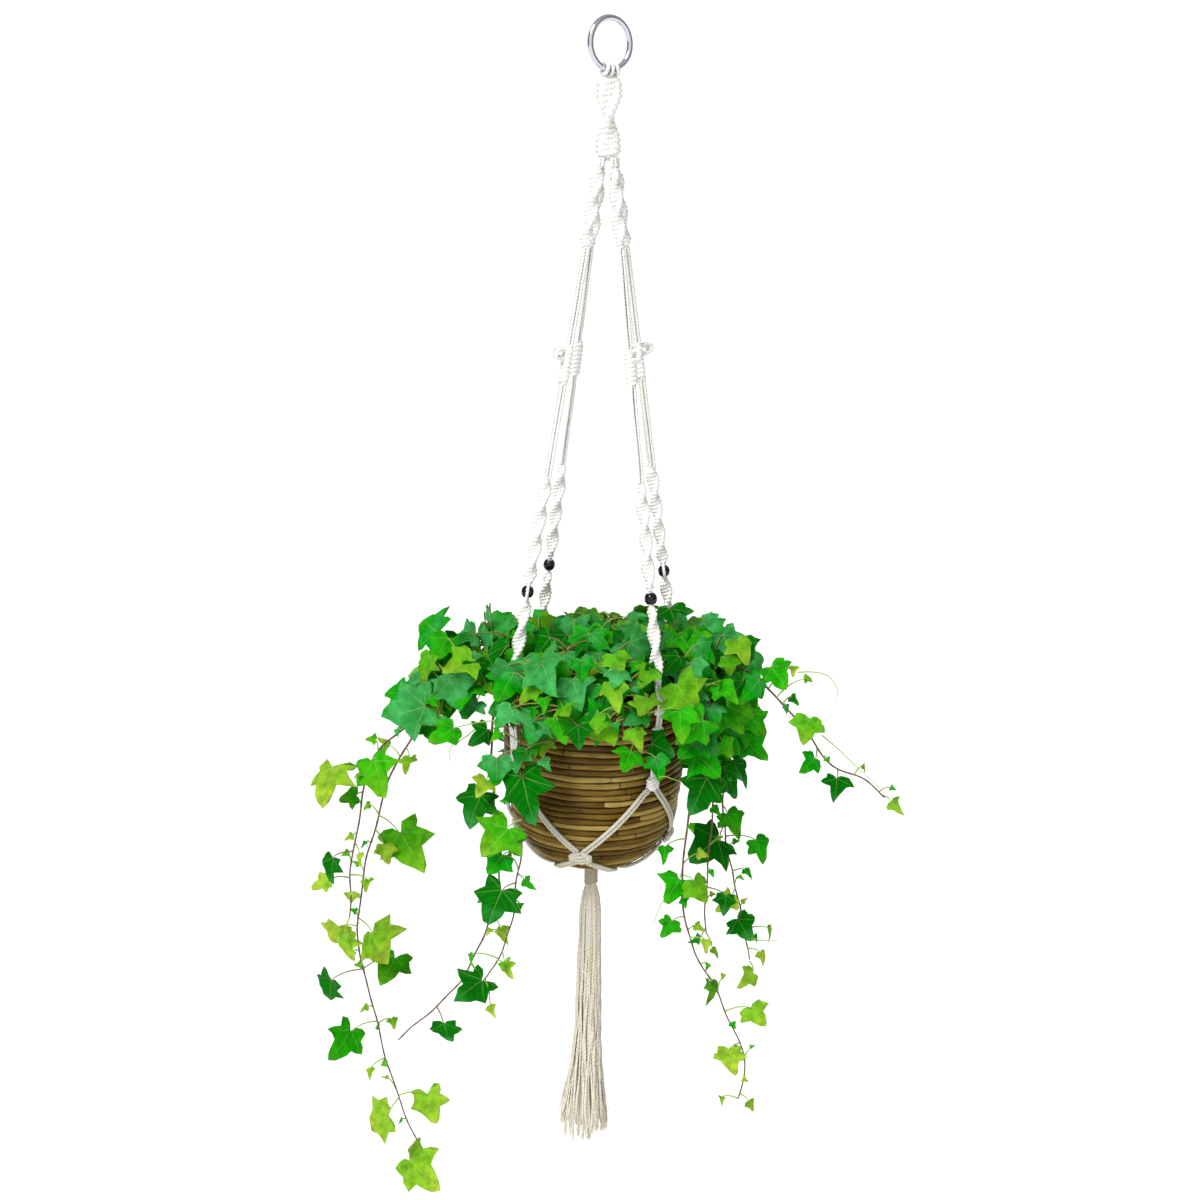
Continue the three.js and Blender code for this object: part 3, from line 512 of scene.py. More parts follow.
@dataclass(frozen=True)
class Speckled(Finish):
    """A plain surface with a grain: fired glaze, moulded plastic, cane pith, soil or a leaf's back."""

    second: str = "#000000"
    grain: float = 2.0
    detail: float = 6.0
    # Where the noise has its first and its second colour.
    spread: tuple = (0.38, 0.68)
    relief: float = 0.2
    strength: float = 0.7

    def dress(self, tree: Tree) -> Sockets:
        """Two colours mixed by a noise of the grain's size, which also gives the relief.

        Args:
            tree: The material's nodes.

        Returns:
            The output for each shader socket.
        """
        at = add(tree, "TexCoord").outputs["Object"]
        grain = add(tree, "TexNoise", {"Vector": at, "Scale": per(self.grain), "Detail": self.detail})
        stops = tuple(zip(self.spread, (self.colour, self.second)))
        shade = add(tree, "ValToRGB", (grain,), stops)
        relief = {"Height": grain, "Strength": self.strength, "Distance": self.relief * MM}
        return {"Base Color": shade.outputs[0], "Normal": add(tree, "Bump", relief).outputs[0]}


class Tone(Enum):
    """The colours that ivy leaves go through, as places on one ramp."""

    DARK = 0.0
    # A pale bluish green: a painted sheen, the reflection of the sky on waxy leaves.
    FROST = 0.2
    MID = 0.36
    FRESH = 0.56
    LIME = 0.78
    GOLD = 1.0


LEAF_COLOURS = (
    (Tone.DARK.value, "#006402"),
    (Tone.GOLD.value, "#9EB834"),
    (Tone.FROST.value, "#42A254"),
    (Tone.MID.value, "#008C04"),
    (Tone.FRESH.value, "#28A204"),
    (Tone.LIME.value, "#6AA61A"),
)
# A blade's UV map holds its own flat shape, scaled and shifted to lie between 0 and 1.
LEAF_SCALE_X = 0.7
LEAF_SCALE_Y = 0.8
LEAF_BELOW = 0.2
# Where the stalk joins the blade, above the blade's base.
VEIN_FOOT = 0.03


@dataclass(frozen=True)
class IvyBlade(Finish):
    """The face of an ivy leaf: a satin skin with pale veins from the foot to each lobe."""

    vein: str = "#C4DE90"
    deep: str = "#044204"
    # Each main vein's angle from the midrib, and half its width at the foot, for a blade one long.
    veins: tuple = ((0.0, 0.016), (59.0, 0.012), (108.0, 0.009))
    rib_gap: float = 0.17
    rib_slant: float = 0.75
    share: float = 0.18
    mottle: float = 8.33
    cloud: float = 23.8

    def dress(self, tree: Tree) -> Sockets:
        """Main veins by their angle from the midrib, side veins off it, a mottled skin, and painted shade
        towards the blade's base.

        Args:
            tree: The material's nodes.

        Returns:
            The output for each shader socket.
        """
        places = add(tree, "TexCoord").outputs
        flat = add(tree, "SeparateXYZ", (places["UV"],)).outputs
        centred = add(tree, "Math", (flat[0], 0.5), operation="SUBTRACT")
        beside = add(tree, "Math", (centred,), operation="ABSOLUTE")
        x = add(tree, "Math", (beside, LEAF_SCALE_X), operation="DIVIDE")
        rise = (flat[1], 1 / LEAF_SCALE_Y, -LEAF_BELOW - VEIN_FOOT)
        y = add(tree, "Math", rise, operation="MULTIPLY_ADD")
        slant = add(tree, "Math", (x, -self.rib_slant, y), operation="MULTIPLY_ADD")
        rib = add(tree, "Math", (slant, self.rib_gap / 2), operation="PINGPONG")
        lines = add(tree, "MapRange", {"Value": rib, "From Max": 0.012, "To Min": 0.25, "To Max": 0.0})
        for angle, width in self.veins:
            s, c = math.sin(math.radians(angle)), math.cos(math.radians(angle))
            turned_x = add(tree, "Math", (x, s), operation="MULTIPLY")
            ahead = add(tree, "Math", (y, c, turned_x), operation="MULTIPLY_ADD")
            turned_y = add(tree, "Math", (x, c), operation="MULTIPLY")
            aside = add(tree, "Math", (y, -s, turned_y), operation="MULTIPLY_ADD")
            off = add(tree, "Math", (aside,), operation="ABSOLUTE")
            taper = add(tree, "Math", (ahead, -0.8 * width, width), operation="MULTIPLY_ADD")
            reach = add(tree, "Math", (off, taper), operation="DIVIDE")
            edge = {"Value": reach, "From Min": 0.3, "From Max": 1.2, "To Min": 1.0, "To Max": 0.0}
            line = add(tree, "MapRange", edge)
            past = add(tree, "Math", (ahead, -0.01), operation="GREATER_THAN")
            vein = add(tree, "Math", (line, past), operation="MULTIPLY")
            lines = add(tree, "Math", (lines, vein), operation="MAXIMUM")
        cells = {"Vector": places["Object"], "Scale": per(self.mottle), "Detail": 4.0}
        mottle = add(tree, "TexNoise", cells)
        cells = {"Vector": places["Object"], "Scale": per(self.cloud), "Detail": 2.0}
        clouds = add(tree, "TexNoise", cells)
        # The tone falls towards the blade's base and middle: painted shade, so that tips and edges are
        # lighter.
        out = add(tree, "Math", (x, y), operation="MAXIMUM")
        edge = {"Value": out, "From Min": 0.2, "From Max": 1.0, "To Min": -0.18, "To Max": 0.0}
        rim = add(tree, "MapRange", edge)
        shift = add(tree, "Math", (clouds, 0.2, rim), operation="MULTIPLY_ADD")
        tone = add(tree, "Attribute", attribute_name="tone").outputs["Fac"]
        aged = add(tree, "Math", (tone, shift), operation="ADD")
        base = add(tree, "ValToRGB", (aged,), LEAF_COLOURS)
        depth = add(tree, "Math", (mottle, 1.6, -0.62), operation="MULTIPLY_ADD")
        darker = add(tree, "Mix", {0: depth, 6: base, 7: linear(self.deep)}, data_type="RGBA")
        pale = add(tree, "Math", (lines, self.share), operation="MULTIPLY")
        veined = add(tree, "Mix", {0: pale, 6: darker.outputs[2], 7: linear(self.vein)}, data_type="RGBA")
        rough = add(tree, "MapRange", {"Value": mottle, "To Min": 0.3, "To Max": 0.6})
        skin = add(tree, "Math", (mottle, 0.5), operation="MULTIPLY")
        height = add(tree, "Math", (lines, -1.0, skin), operation="MULTIPLY_ADD")
        bump = add(tree, "Bump", {"Height": height, "Strength": 0.5, "Distance": 0.5 * MM})
        outputs = {"Base Color": veined.outputs[2], "Roughness": rough.outputs[0]}
        return outputs | {"Normal": bump.outputs[0]}


@dataclass(frozen=True)
class IvyStem(Finish):
    """Young ivy stem: green near its tip and purple-brown where it has turned woody."""

    woody: str = "#5B3A33"
    turning: str = "#7C6A3C"
    fleck: float = 3.03

    def dress(self, tree: Tree) -> Sockets:
        """From woody at tone 0 to green at tone 1, with flecks.

        Args:
            tree: The material's nodes.

        Returns:
            The output for each shader socket.
        """
        tone = add(tree, "Attribute", attribute_name="tone").outputs["Fac"]
        at = add(tree, "TexCoord").outputs["Object"]
        flecks = add(tree, "TexNoise", {"Vector": at, "Scale": per(self.fleck), "Detail": 3.0})
        value = add(tree, "Math", (flecks, 0.5, tone), operation="MULTIPLY_ADD")
        stops = ((0.2, self.woody), (1.0, self.colour), (0.7, self.turning))
        shade = add(tree, "ValToRGB", (value,), stops)
        bump = add(tree, "Bump", {"Height": flecks, "Strength": 0.3, "Distance": 0.2 * MM})
        return {"Base Color": shade.outputs[0], "Normal": bump.outputs[0]}


STEEL = PolishedSteel("polished_steel_wire", "#CFCFDA", 0.12, metallic=1.0)
# Bleached three-strand cotton: nearly white and matt.
COTTON = TwistedCotton("twisted_cotton_cord", "#EAE9E5", 0.95, gloss=0.1)
# The same cord under the basket, painted greyer than the rest: painted shade for the shade under the
# basket.
PAINTED_SHADE_COTTON = TwistedCotton("dusty_cotton_cord", "#C4C1B2", 0.95, gloss=0.1, groove_shade="#A39D89")
# Unbleached yarn, combed out at its ends: warmer and quite matt.
RAW_COTTON = TwistedCotton("unbleached_cotton_yarn", "#DBD5C5", 0.97, gloss=0.1, groove_shade="#CAC2AD")
# Waxed thread, wound tight: a brown grey with a slight shine.
WHIPPING = TwistedCotton("waxed_cotton_whipping", "#C9C0A8", 0.8, gloss=0.2, groove_shade="#8E866E")
# Fired black glaze: nearly black, with small sharp highlights.
BEAD_GLAZE = Speckled(
    "black_glazed_bead", "#04080A", 0.12, gloss=0.35, second="#0E181A", grain=3.03, detail=2.0,
    spread=(0.35, 0.8), strength=0.1,
)
# Peeled and oiled rattan: brown lengths of uneven tone, satin.
CANE = PeeledCane("peeled_rattan_cane", "#644B12", 0.42, gloss=0.1)
# A lining of rattan pith behind the canes, dark as painted shade in the grooves between them.
PITH_PAINTED_SHADE = Speckled("pith_lining_painted_shade", "#24170B", 0.85, second="#3A2713", grain=4.0)
# Moulded polypropylene: black with a faint satin.
POT_PLASTIC = Speckled("moulded_pot_plastic", "#1B1A18", 0.5, second="#262420", grain=0.8, relief=0.05)
# Damp peat and bark: dark brown crumbs with no shine.
POTTING_SOIL = Speckled("damp_potting_soil", "#1E140D", 0.97, second="#4A3524", grain=3.0, relief=1.5)
# The upper skin of an ivy leaf: clear greens and little shine.
BLADE_FACE = IvyBlade("ivy_leaf_face", "#2A8A24", 0.45, gloss=0.02)
# The lower skin of the leaf: paler and more matt.
BLADE_BACK = Speckled("ivy_leaf_underside", "#4C9A2C", 0.6, gloss=0.12, second="#7CB838", grain=9.0)
STEM = IvyStem("ivy_stem", "#86A845", 0.5, gloss=0.2)
# Matt white board, which is lost in the background.
FLOOR = Speckled("pale_studio_floor", "#FBFBFA", 0.9, second="#FDFDFC", grain=60.0, relief=0.02)


# The hanger


@dataclass
class Ring:
    """The steel ring, bent from one wire and welded under the cords."""

    outer: float = 50.0
    wire: float = 5.6
    turned: float = 37.0
    weld: float = 0.25
    weld_half: float = 0.6

    def build(self) -> None:
        """A torus with a welded joint at its foot: a raised bead."""
        bpy.ops.object.select_all(action="DESELECT")
        wire = self.wire / 2
        bpy.ops.mesh.primitive_torus_add(
            major_segments=120,
            minor_segments=24,
            major_radius=(self.outer / 2 - wire) * MM,
            minor_radius=wire * MM,
            rotation=(math.pi / 2, 0, math.radians(self.turned)),
            location=(0, 0, -(self.outer / 2 - self.wire) * MM),
        )
        ring = bpy.context.object
        ring.name = ring.data.name = "steel_ring"
        bpy.ops.object.transform_apply(location=True, rotation=True, scale=True)
        bpy.ops.object.mode_set(mode="EDIT")
        bpy.ops.mesh.select_all(action="DESELECT")
        bpy.ops.object.mode_set(mode="OBJECT")
        lean = Matrix.Rotation(-math.radians(self.turned), 3, "Z")
        for vertex in ring.data.vertices:
            flat = lean @ vertex.co
            vertex.select = abs(flat.x) < self.weld_half * MM and flat.z < -self.outer / 2 * MM
        bpy.ops.object.mode_set(mode="EDIT")
        bpy.ops.transform.shrink_fatten(value=self.weld * MM)
        bpy.ops.object.mode_set(mode="OBJECT")
        ring.data.shade_smooth()
        ring.data.materials.append(STEEL.make())
        place(ring, ("hang_ring",))


@dataclass(frozen=True)
class Course:
    """A line that cords follow: its points, and the outward and the cross direction at each."""

    at: Array
    out: Array
    across: Array

    def beside(self, across: Number, out: Number) -> Array:
        """Points that lie off the line, across it and outwards."""
        a, b = (np.broadcast_to(off, len(self.at))[:, None] for off in (across, out))
        return self.at + self.across * a + self.out * b


def upright(at: Array, azimuth: float) -> Course:
    """A line of points that faces one azimuth all the way."""
    out, across = (np.broadcast_to(polar(1.0, azimuth + turn, 0.0), at.shape) for turn in (0, 90))
    return Course(at, out, across)


def cords_along(solids: Solids, course: Course, spots: tuple, radius: float, rng: Rng) -> None:
    """Lays cords side by side along a line.

    Args:
        solids: Where they go.
        course: The line.
        spots: Where each cord lies, as (across, out).
        radius: The radius of one cord.
        rng: Draws the slack of each cord.
    """
    run = running(course.at)
    hold = held(run, 12, 0)
    for a, b in spots:
        slack = 0.28 * hold * np.sin(run / rng.uniform(14, 30) + rng.uniform(0, 6))
        solids.cord(course.beside(a + slack, b + 0.6 * slack), radius)


def wind(
    solids: Solids, course: Course, ear: Number, front: Number, pitch: float,
    cord: float, roll: Number = 0.0,
) -> None:
    """Winds two working cords round a line, as in a row of half knots, over a filled core.

    Args:
        solids: Where they go.
        course: The line, from its lower end.
        ear: How far the cords reach to the sides.
        front: How far they reach to the front and back.
        pitch: The length in which a cord goes once round.
        cord: The radius of a cord.
        roll: How far the row has turned about the line at each point, in radians.
    """
    run = running(course.at)
    hold = held(run, 3.5, 0.3)
    count = len(run)
    ear, front, roll = (np.broadcast_to(value, count) for value in (ear, front, roll))
    for half in (0, math.pi):
        angle = 2 * np.pi * run / pitch + half - roll
        wide = ear * np.sin(angle) * hold
        deep = front * np.cos(angle) * hold
        a = wide * np.cos(roll) + deep * np.sin(roll)
        b = deep * np.cos(roll) - wide * np.sin(roll)
        solids.cord(course.beside(a, b), cord)
    thick = (front + 0.3 * cord) * hold
    wide = np.maximum(ear - thick + 0.3 * cord, 0) * hold
    few = slice(None, None, max(1, round(2.5 * count / run[-1])))
    for share in (-1, 0, 1):
        core = course.beside(share * wide * np.cos(roll), -share * wide * np.sin(roll))
        solids.tube(core[few], thick[few], 10)


ARM_AZIMUTHS = {"front_left": -52.9, "front_right": 37.1, "rear_right": 127.1, "rear_left": -142.9}
KNOT_AZIMUTHS = {"front": -7.9, "right": 82.1, "rear": 172.1, "left": -97.9}
# The middle of every arm: height and distance from the axis.
ARM_LINE = (
    (-120.8, 8.6), (-600.0, 98.6), (-609.0, 101.6), (-617.0, 102.4), (-626.0, 101.4),
    (-654.0, 96.9), (-690.0, 94.9), (-700.0, 94.6),
)


def on_arm(azimuth: float, z: Number) -> Array:
    """Points on the middle of an arm at given heights."""
    return polar(between(ARM_LINE, z), azimuth, z)


@dataclass
class Crown:
    """The cords that loop over the ring, and the thick knot under it."""

    top: float = -46.5
    bottom: float = -119.6
    loops: int = 3
    loop_radius: float = 5.1
    loop_cord: float = 1.85
    loop_lay: float = 10.0
    spread: float = 14.0
    cord: float = 1.95
    pitch: float = 9.6
    # Height, half width, half depth and turn of the knotted lump.
    sections: tuple = (
        (-46.5, 9.0, 6.0, -30.0), (-54.0, 12.0, 6.6, -14.0), (-66.0, 12.2, 6.4, 20.0),
        (-84.0, 9.6, 5.4, 96.0), (-98.0, 11.6, 6.6, 150.0), (-110.0, 12.2, 9.0, 182.0),
        (-119.6, 11.8, 10.4, 200.0),
    )

    def build(self, ring: Ring) -> None:
        """Loops round the ring's wire, then working cords wound over a thick core.

        Args:
            ring: The ring that carries the loops.
        """
        solids = Solids()
        middle = ring.outer / 2 - ring.wire / 2
        centre = -(ring.outer / 2 - ring.wire)
        lean = math.radians(ring.turned)
        turn = np.linspace(-0.2, 2 * np.pi + 0.2, 40)
        for i in range(self.loops):
            swing = math.radians(self.spread * (i - (self.loops - 1) / 2))
            y = self.loop_radius * np.sin(turn)
            drop = -middle - self.loop_radius * np.cos(turn)
            x, z = drop * math.sin(swing), drop * math.cos(swing) + centre
            rows = [x * math.cos(lean) - y * math.sin(lean), x * math.sin(lean) + y * math.cos(lean), z]
            solids.cord(np.stack(rows, 1), self.loop_cord, self.loop_lay)
        z = np.arange(self.bottom, self.top, 0.45)
        sections = ([(row[0], row[k]) for row in self.sections] for k in (1, 2, 3))
        wide, deep, roll = (between(section, z) for section in sections)
        course = upright(np.stack([0 * z, 0 * z, z], 1), 0.0)
        wind(solids, course, wide - self.cord, deep - self.cord, self.pitch, self.cord, -np.radians(roll))
        place(solids.mesh("crown_knot", [COTTON.make()]), ("crown_sinnet",))


@dataclass
class Bead:
    """A glazed bead, threaded on two of the cords of an arm."""

    name: str
    azimuth: float
    diameter: float = 12.0
    height: float = 10.6
    bore: float = 5.4
    z: float = -515.5
    # Where the round of the body ends, as a share of its radius, and how full the round is.
    shoulder: float = 0.86
    fullness: float = 0.8

    def build(self) -> None:
        """A round body with flattened ends and a rounded bore."""
        half = self.height / 2
        bore = self.bore / 2
        lip = [(bore, -half * 0.8), (bore + 0.25, -half * 0.95), (bore + 0.8, -half)]
        start = math.asin(self.shoulder)
        body = [
            (self.diameter / 2 * math.cos(t) ** self.fullness, half * math.sin(t) / math.sin(start))
            for t in np.linspace(-start, start, 15)
        ]
        profile = lip + body + [(r, -z) for r, z in lip[::-1]] + lip[:1]
        bead = turned(f"glazed_bead_{self.name}", profile, 36)
        below, at, above = (on_arm(self.azimuth, self.z + rise) for rise in (-10, 0, 10))
        lean = math.atan2(math.hypot(*(below - above)[:2]), 20)
        axis = polar(1.0, self.azimuth + 90, 0.0)
        spin = Matrix.Rotation(-lean, 4, axis.tolist())
        bead.data.transform(Matrix.Translation((at * MM).tolist()) @ spin)
        bead.data.materials.append(BEAD_GLAZE.make())
        place(bead, (f"bead_{self.name}",))


@dataclass
class Arm:
    """One arm of the hanger, from the crown knot over the rim to its gathering knot."""

    name: str
    azimuth: float
    bead: Bead
    crossing: bool = False
    cord: float = 1.55
    pitch: float = 7.2
    roll: float = 54.0
    ear: float = 5.4
    front: float = 2.3
    # The loop that stands out from the square knot: how far, and the height.
    picot_line: tuple = (
        (0.0, -291.0), (6.0, -289.5), (11.5, -289.0), (15.0, -290.0), (16.0, -293.0),
        (15.0, -296.2), (10.5, -297.4), (5.0, -298.4), (0.0, -300.0),
    )
    picot_cord: float = 1.75
    picot_lay: float = 9.0
    rng: Rng = field(default_factory=lambda: np.random.default_rng(3))
    solids: Solids = field(default_factory=Solids)

    def line(self, low: float, high: float, step: float) -> Course:
        """The arm's middle between two heights, from below, in steps of about one length."""
        z = np.linspace(low, high, max(4, int((high - low) / step)))
        return upright(on_arm(self.azimuth, z), self.azimuth)

    def straight(self, low: float, high: float, wide: float = 1.9, deep: float = 1.4) -> None:
        """Four cords side by side between two heights, two by two."""
        spots = ((-0.5 * wide, -deep), (1.3 * wide, -deep), (-1.4 * wide, deep), (0.5 * wide, deep))
        cords_along(self.solids, self.line(low, high, 1.3), spots, self.cord, self.rng)

    def spiral(self, low: float, high: float) -> None:
        """A row of half knots, which twists as it grows, over two core cords.

        Args:
            low: The lower height.
            high: The upper height.
        """
        course = self.line(low, high, 0.5)
        run = np.linspace(0, high - low, len(course.at))
        roll = 2 * np.pi * run / self.roll
        ear = self.ear * held(run, 9, 0.45)
        wind(self.solids, course, ear, self.front, self.pitch, self.cord, roll)

    def knot(self, low: float, high: float, ear: float, front: float, pitch: float) -> None:
        """Knots that lie flat on the arm between two heights."""
        wind(self.solids, self.line(low, high, 0.4), ear, front, pitch, self.cord * 1.05)

    def picot(self) -> None:
        """A loop of cord that stands out from the square knot."""
        last = len(self.picot_line) - 1
        t = np.linspace(0, last, 60)
        reach, z = (np.interp(t, range(last + 1), column) for column in zip(*self.picot_line))
        start = between(ARM_LINE, -295.0)
        for side, share in ((-1.5, 1.0), (1.6, 0.86)):
            path = polar(start + reach * share, self.azimuth, z - side * 0.6)
            path += polar(1.0, self.azimuth + 90, 0.0) * side * np.sin(np.pi * t / last)[:, None]
            smooth(path, 6)
            self.solids.cord(path, self.picot_cord, self.picot_lay)

    def cross(self) -> None:
        """A working cord that passes the bead on its front side."""
        z = np.linspace(self.bead.z - 11, self.bead.z + 11, 24)
        bulge = 7.1 * np.cos((z - self.bead.z) / 11 * np.pi / 2) ** 0.7
        self.solids.cord(on_arm(self.azimuth, z) + FRONT * bulge[:, None], 1.5)

    def build(self) -> None:
        """All stretches of the arm, from the top down, as one piece."""
        bead = self.bead
        self.straight(-126.5, -118.0)
        self.spiral(-200.0, -125.0)
        self.straight(-288.0, -198.0)
        self.knot(-323.0, -286.0, 4.6, 3.0, 8.4)
        self.picot()
        self.straight(-409.0, -321.0, 2.1)
        self.spiral(bead.z + 5.6, -407.0)
        threaded = ((-1.15, 0.0), (1.15, 0.0))
        cords_along(self.solids, self.line(bead.z - 8, bead.z + 8, 1.2), threaded, 1.3, self.rng)
        self.spiral(-597.0, bead.z - 5.6)
        self.straight(-700.0, -595.0, 2.0, 0.9)
        for middle in (-606.0, -621.0, -640.0):
            self.knot(middle - 5.0, middle + 5.0, 5.0, 1.6, 5.4)
        self.knot(-702.0, -687.0, 6.0, 2.9, 6.2)
        if self.crossing:
            self.cross()
        piece = self.solids.mesh(f"knotted_arm_{self.name}", [COTTON.make()])
        place(piece, (f"arm_{self.name}",))


@dataclass(frozen=True)
class BasketForm:
    """The outline of the basket, which the net, the liner and the soil follow."""

    rim_outer: float = 99.3
    rim_top: float = -612.4
    mouth: float = 94.2
    mouth_z: float = -626.0
    neck: float = 92.5
    neck_z: float = -640.0
    waist_z: float = -665.0
    belly: float = 90.0
    belly_z: float = -690.0
    base: float = 38.0
    base_z: float = -799.0
    wall: float = 6.5
    roundness: float = 2.1

    def bowl(self, angle: Number, inset: float = 0.0) -> tuple:
        """The bowl's surface, at 0 degrees by the belly and at 90 by the flat base.

        Args:
            angle: Angles on the bowl.
            inset: How far the surface is let in.

        Returns:
            The distances from the axis and the heights.
        """
        a = np.radians(angle)
        power = 2 / self.roundness
        z = mix(self.belly_z, self.base_z + inset, np.sin(a) ** power)
        return self.base - inset + (self.belly - self.base) * np.cos(a) ** power, z

    def angle(self, z: float) -> float:
        """The angle at which the bowl reaches a height."""
        share = (self.belly_z - z) / (self.belly_z - self.base_z)
        return math.degrees(math.asin(share ** (self.roundness / 2)))

    def over(self, angle: Array, azimuth: Array, off: float) -> tuple[Array, Array]:
        """Points that stand off the bowl.

        Args:
            angle: Angles on the bowl.
            azimuth: Azimuths.
            off: The distance outwards.

        Returns:
            The points and the outward directions.
        """
        r0, z0 = self.bowl(np.maximum(angle - 1, 0.001))
        r1, z1 = self.bowl(np.minimum(angle + 1, 89.999))
        slope = np.hypot(r1 - r0, z1 - z0)
        nr, nz = -(z1 - z0) / slope, (r1 - r0) / slope
        r, z = self.bowl(angle)
        return polar(r + nr * off, azimuth, z + nz * off), polar(nr, azimuth, nz)

    def wall_at(self, z: float, inset: float) -> tuple[float, float]:
        """The wall above the bowl, let in by inset."""
        table = ((self.belly_z, self.belly), (self.neck_z, self.neck), (self.mouth_z, self.mouth))
        return float(between(table, z)) - inset, z

    def profile(self, inset: float, top: float) -> list[tuple[float, float]]:
        """Points from the axis along the base and up the bowl and the wall.

        Args:
            inset: How far the profile is let in.
            top: The height at which it ends.

        Returns:
            Points of (distance from the axis, height).
        """
        rows = [(0.0, self.base_z + inset)]
        for angle in np.linspace(90, 0, 16):
            r, z = self.bowl(angle, inset)
            rows.append((float(r), float(z)))
        rows += [self.wall_at(z, inset) for z in (self.waist_z, self.neck_z, top)]
        return rows


@dataclass
class Net:
    """The cords under the basket: pairs that meet in knots and run together to the collar."""

    form: BasketForm
    cord: float = 1.75
    top: float = -701.0
    knot_top: float = -764.5
    knot_bottom: float = -778.0
    bottom: float = -834.0

    def pair(self, solids: Solids, path: Array, out: Array, apart: float) -> None:
        """Two cords side by side on a surface.

        Args:
            solids: Where they go.
            path: The middle of the pair.
            out: The outward direction at each point.
            apart: Half the distance between them.
        """
        ahead, _ = carried(path)
        across = np.cross(out, ahead)
        across /= np.linalg.norm(across, axis=1)[:, None]
        for side in (-1, 1):
            solids.cord(path + across * side * apart, self.cord)

    def build(self) -> None:
        """The eight pairs, the four knots and the cords that gather under the base."""
        form = self.form
        t = np.linspace(0, 1, 70)
        angle = mix(form.angle(self.top), form.angle(self.knot_top - 1.5), t)
        off = 2.1 + 1.6 * np.clip(1 - t * 12, 0, 1)
        for name, azimuth in ARM_AZIMUTHS.items():
            for side, word in ((-1, "left"), (1, "right")):
                solids = Solids()
                path, out = form.over(angle, azimuth + side * mix(2.6, 42.5, t), 0.0)
                self.pair(solids, path + out * off[:, None], out, 1.75)
                node = f"net_cords_{name}_{word}"
                place(solids.mesh(f"cord_pair_{name}_{word}", [PAINTED_SHADE_COTTON.make()]), (node,))
        for name, azimuth in KNOT_AZIMUTHS.items():
            self.knot(name, azimuth)
        self.gather()

    def knot(self, name: str, azimuth: float) -> None:
        """A square knot over the cords where two pairs meet.

        Args:
            name: The side of the basket.
            azimuth: Where the knot lies.
        """
        form = self.form
        solids = Solids()
        t = np.linspace(0, 1, 60)
        angle = mix(form.angle(self.knot_bottom + 0.5), form.angle(self.knot_top - 0.5), t)
        at, out = form.over(angle, np.full_like(t, azimuth), 4.1)
        across = np.broadcast_to(polar(1.0, azimuth + 90, 0.0), at.shape)
        swell = 1 - 0.35 * np.abs(2 * t - 1) ** 3
        wind(solids, Course(at, out, across), 10.0 * swell, 2.3, 7.4, 1.85)
        for a in (-5.4, -1.9, 1.9, 5.4):
            solids.cord(at[::4] + across[::4] * a, 1.9, 10.5)
        place(solids.mesh(f"square_knot_{name}", [PAINTED_SHADE_COTTON.make()]), (f"net_knot_{name}",))

    def gather(self) -> None:
        """Pairs from each knot to the middle of the base, and the bundle down into the collar."""
        form = self.form
        solids = Solids()
        t = np.linspace(0, 1, 30)
        angle = mix(form.angle(self.knot_bottom) + 1.5, 84, t)
        radius = np.linspace(30, 5.5, 22)
        bend = 45 - np.degrees(np.arcsin(np.minimum(2.4 / radius, 1)))
        for azimuth in KNOT_AZIMUTHS.values():
            for side in (-1, 1):
                path, out = form.over(angle, azimuth + side * mix(4.5, 41, t**0.85), 2.0)
                low = polar(radius, azimuth + side * bend, form.base_z - 2.0)
                low[:, 2] -= np.clip(9 - radius, 0, 9) * 0.6
                both = np.concatenate([path, low])
                smooth(both, 8)
                down = np.concatenate([out, np.broadcast_to(-UP, low.shape)])
                self.pair(solids, both, down, 1.65)
        # One cord down the middle of the bundle and eight round it.
        z = np.linspace(form.base_z - 1.5, self.bottom, 26)
        for i in range(9):
            solids.cord(polar(3.5 if i else 0.0, 40 * i + (z + 800) * -1.6, z), 1.6, 10.0)
        place(solids.mesh("gathered_cords", [PAINTED_SHADE_COTTON.make()]), ("net_gather",))


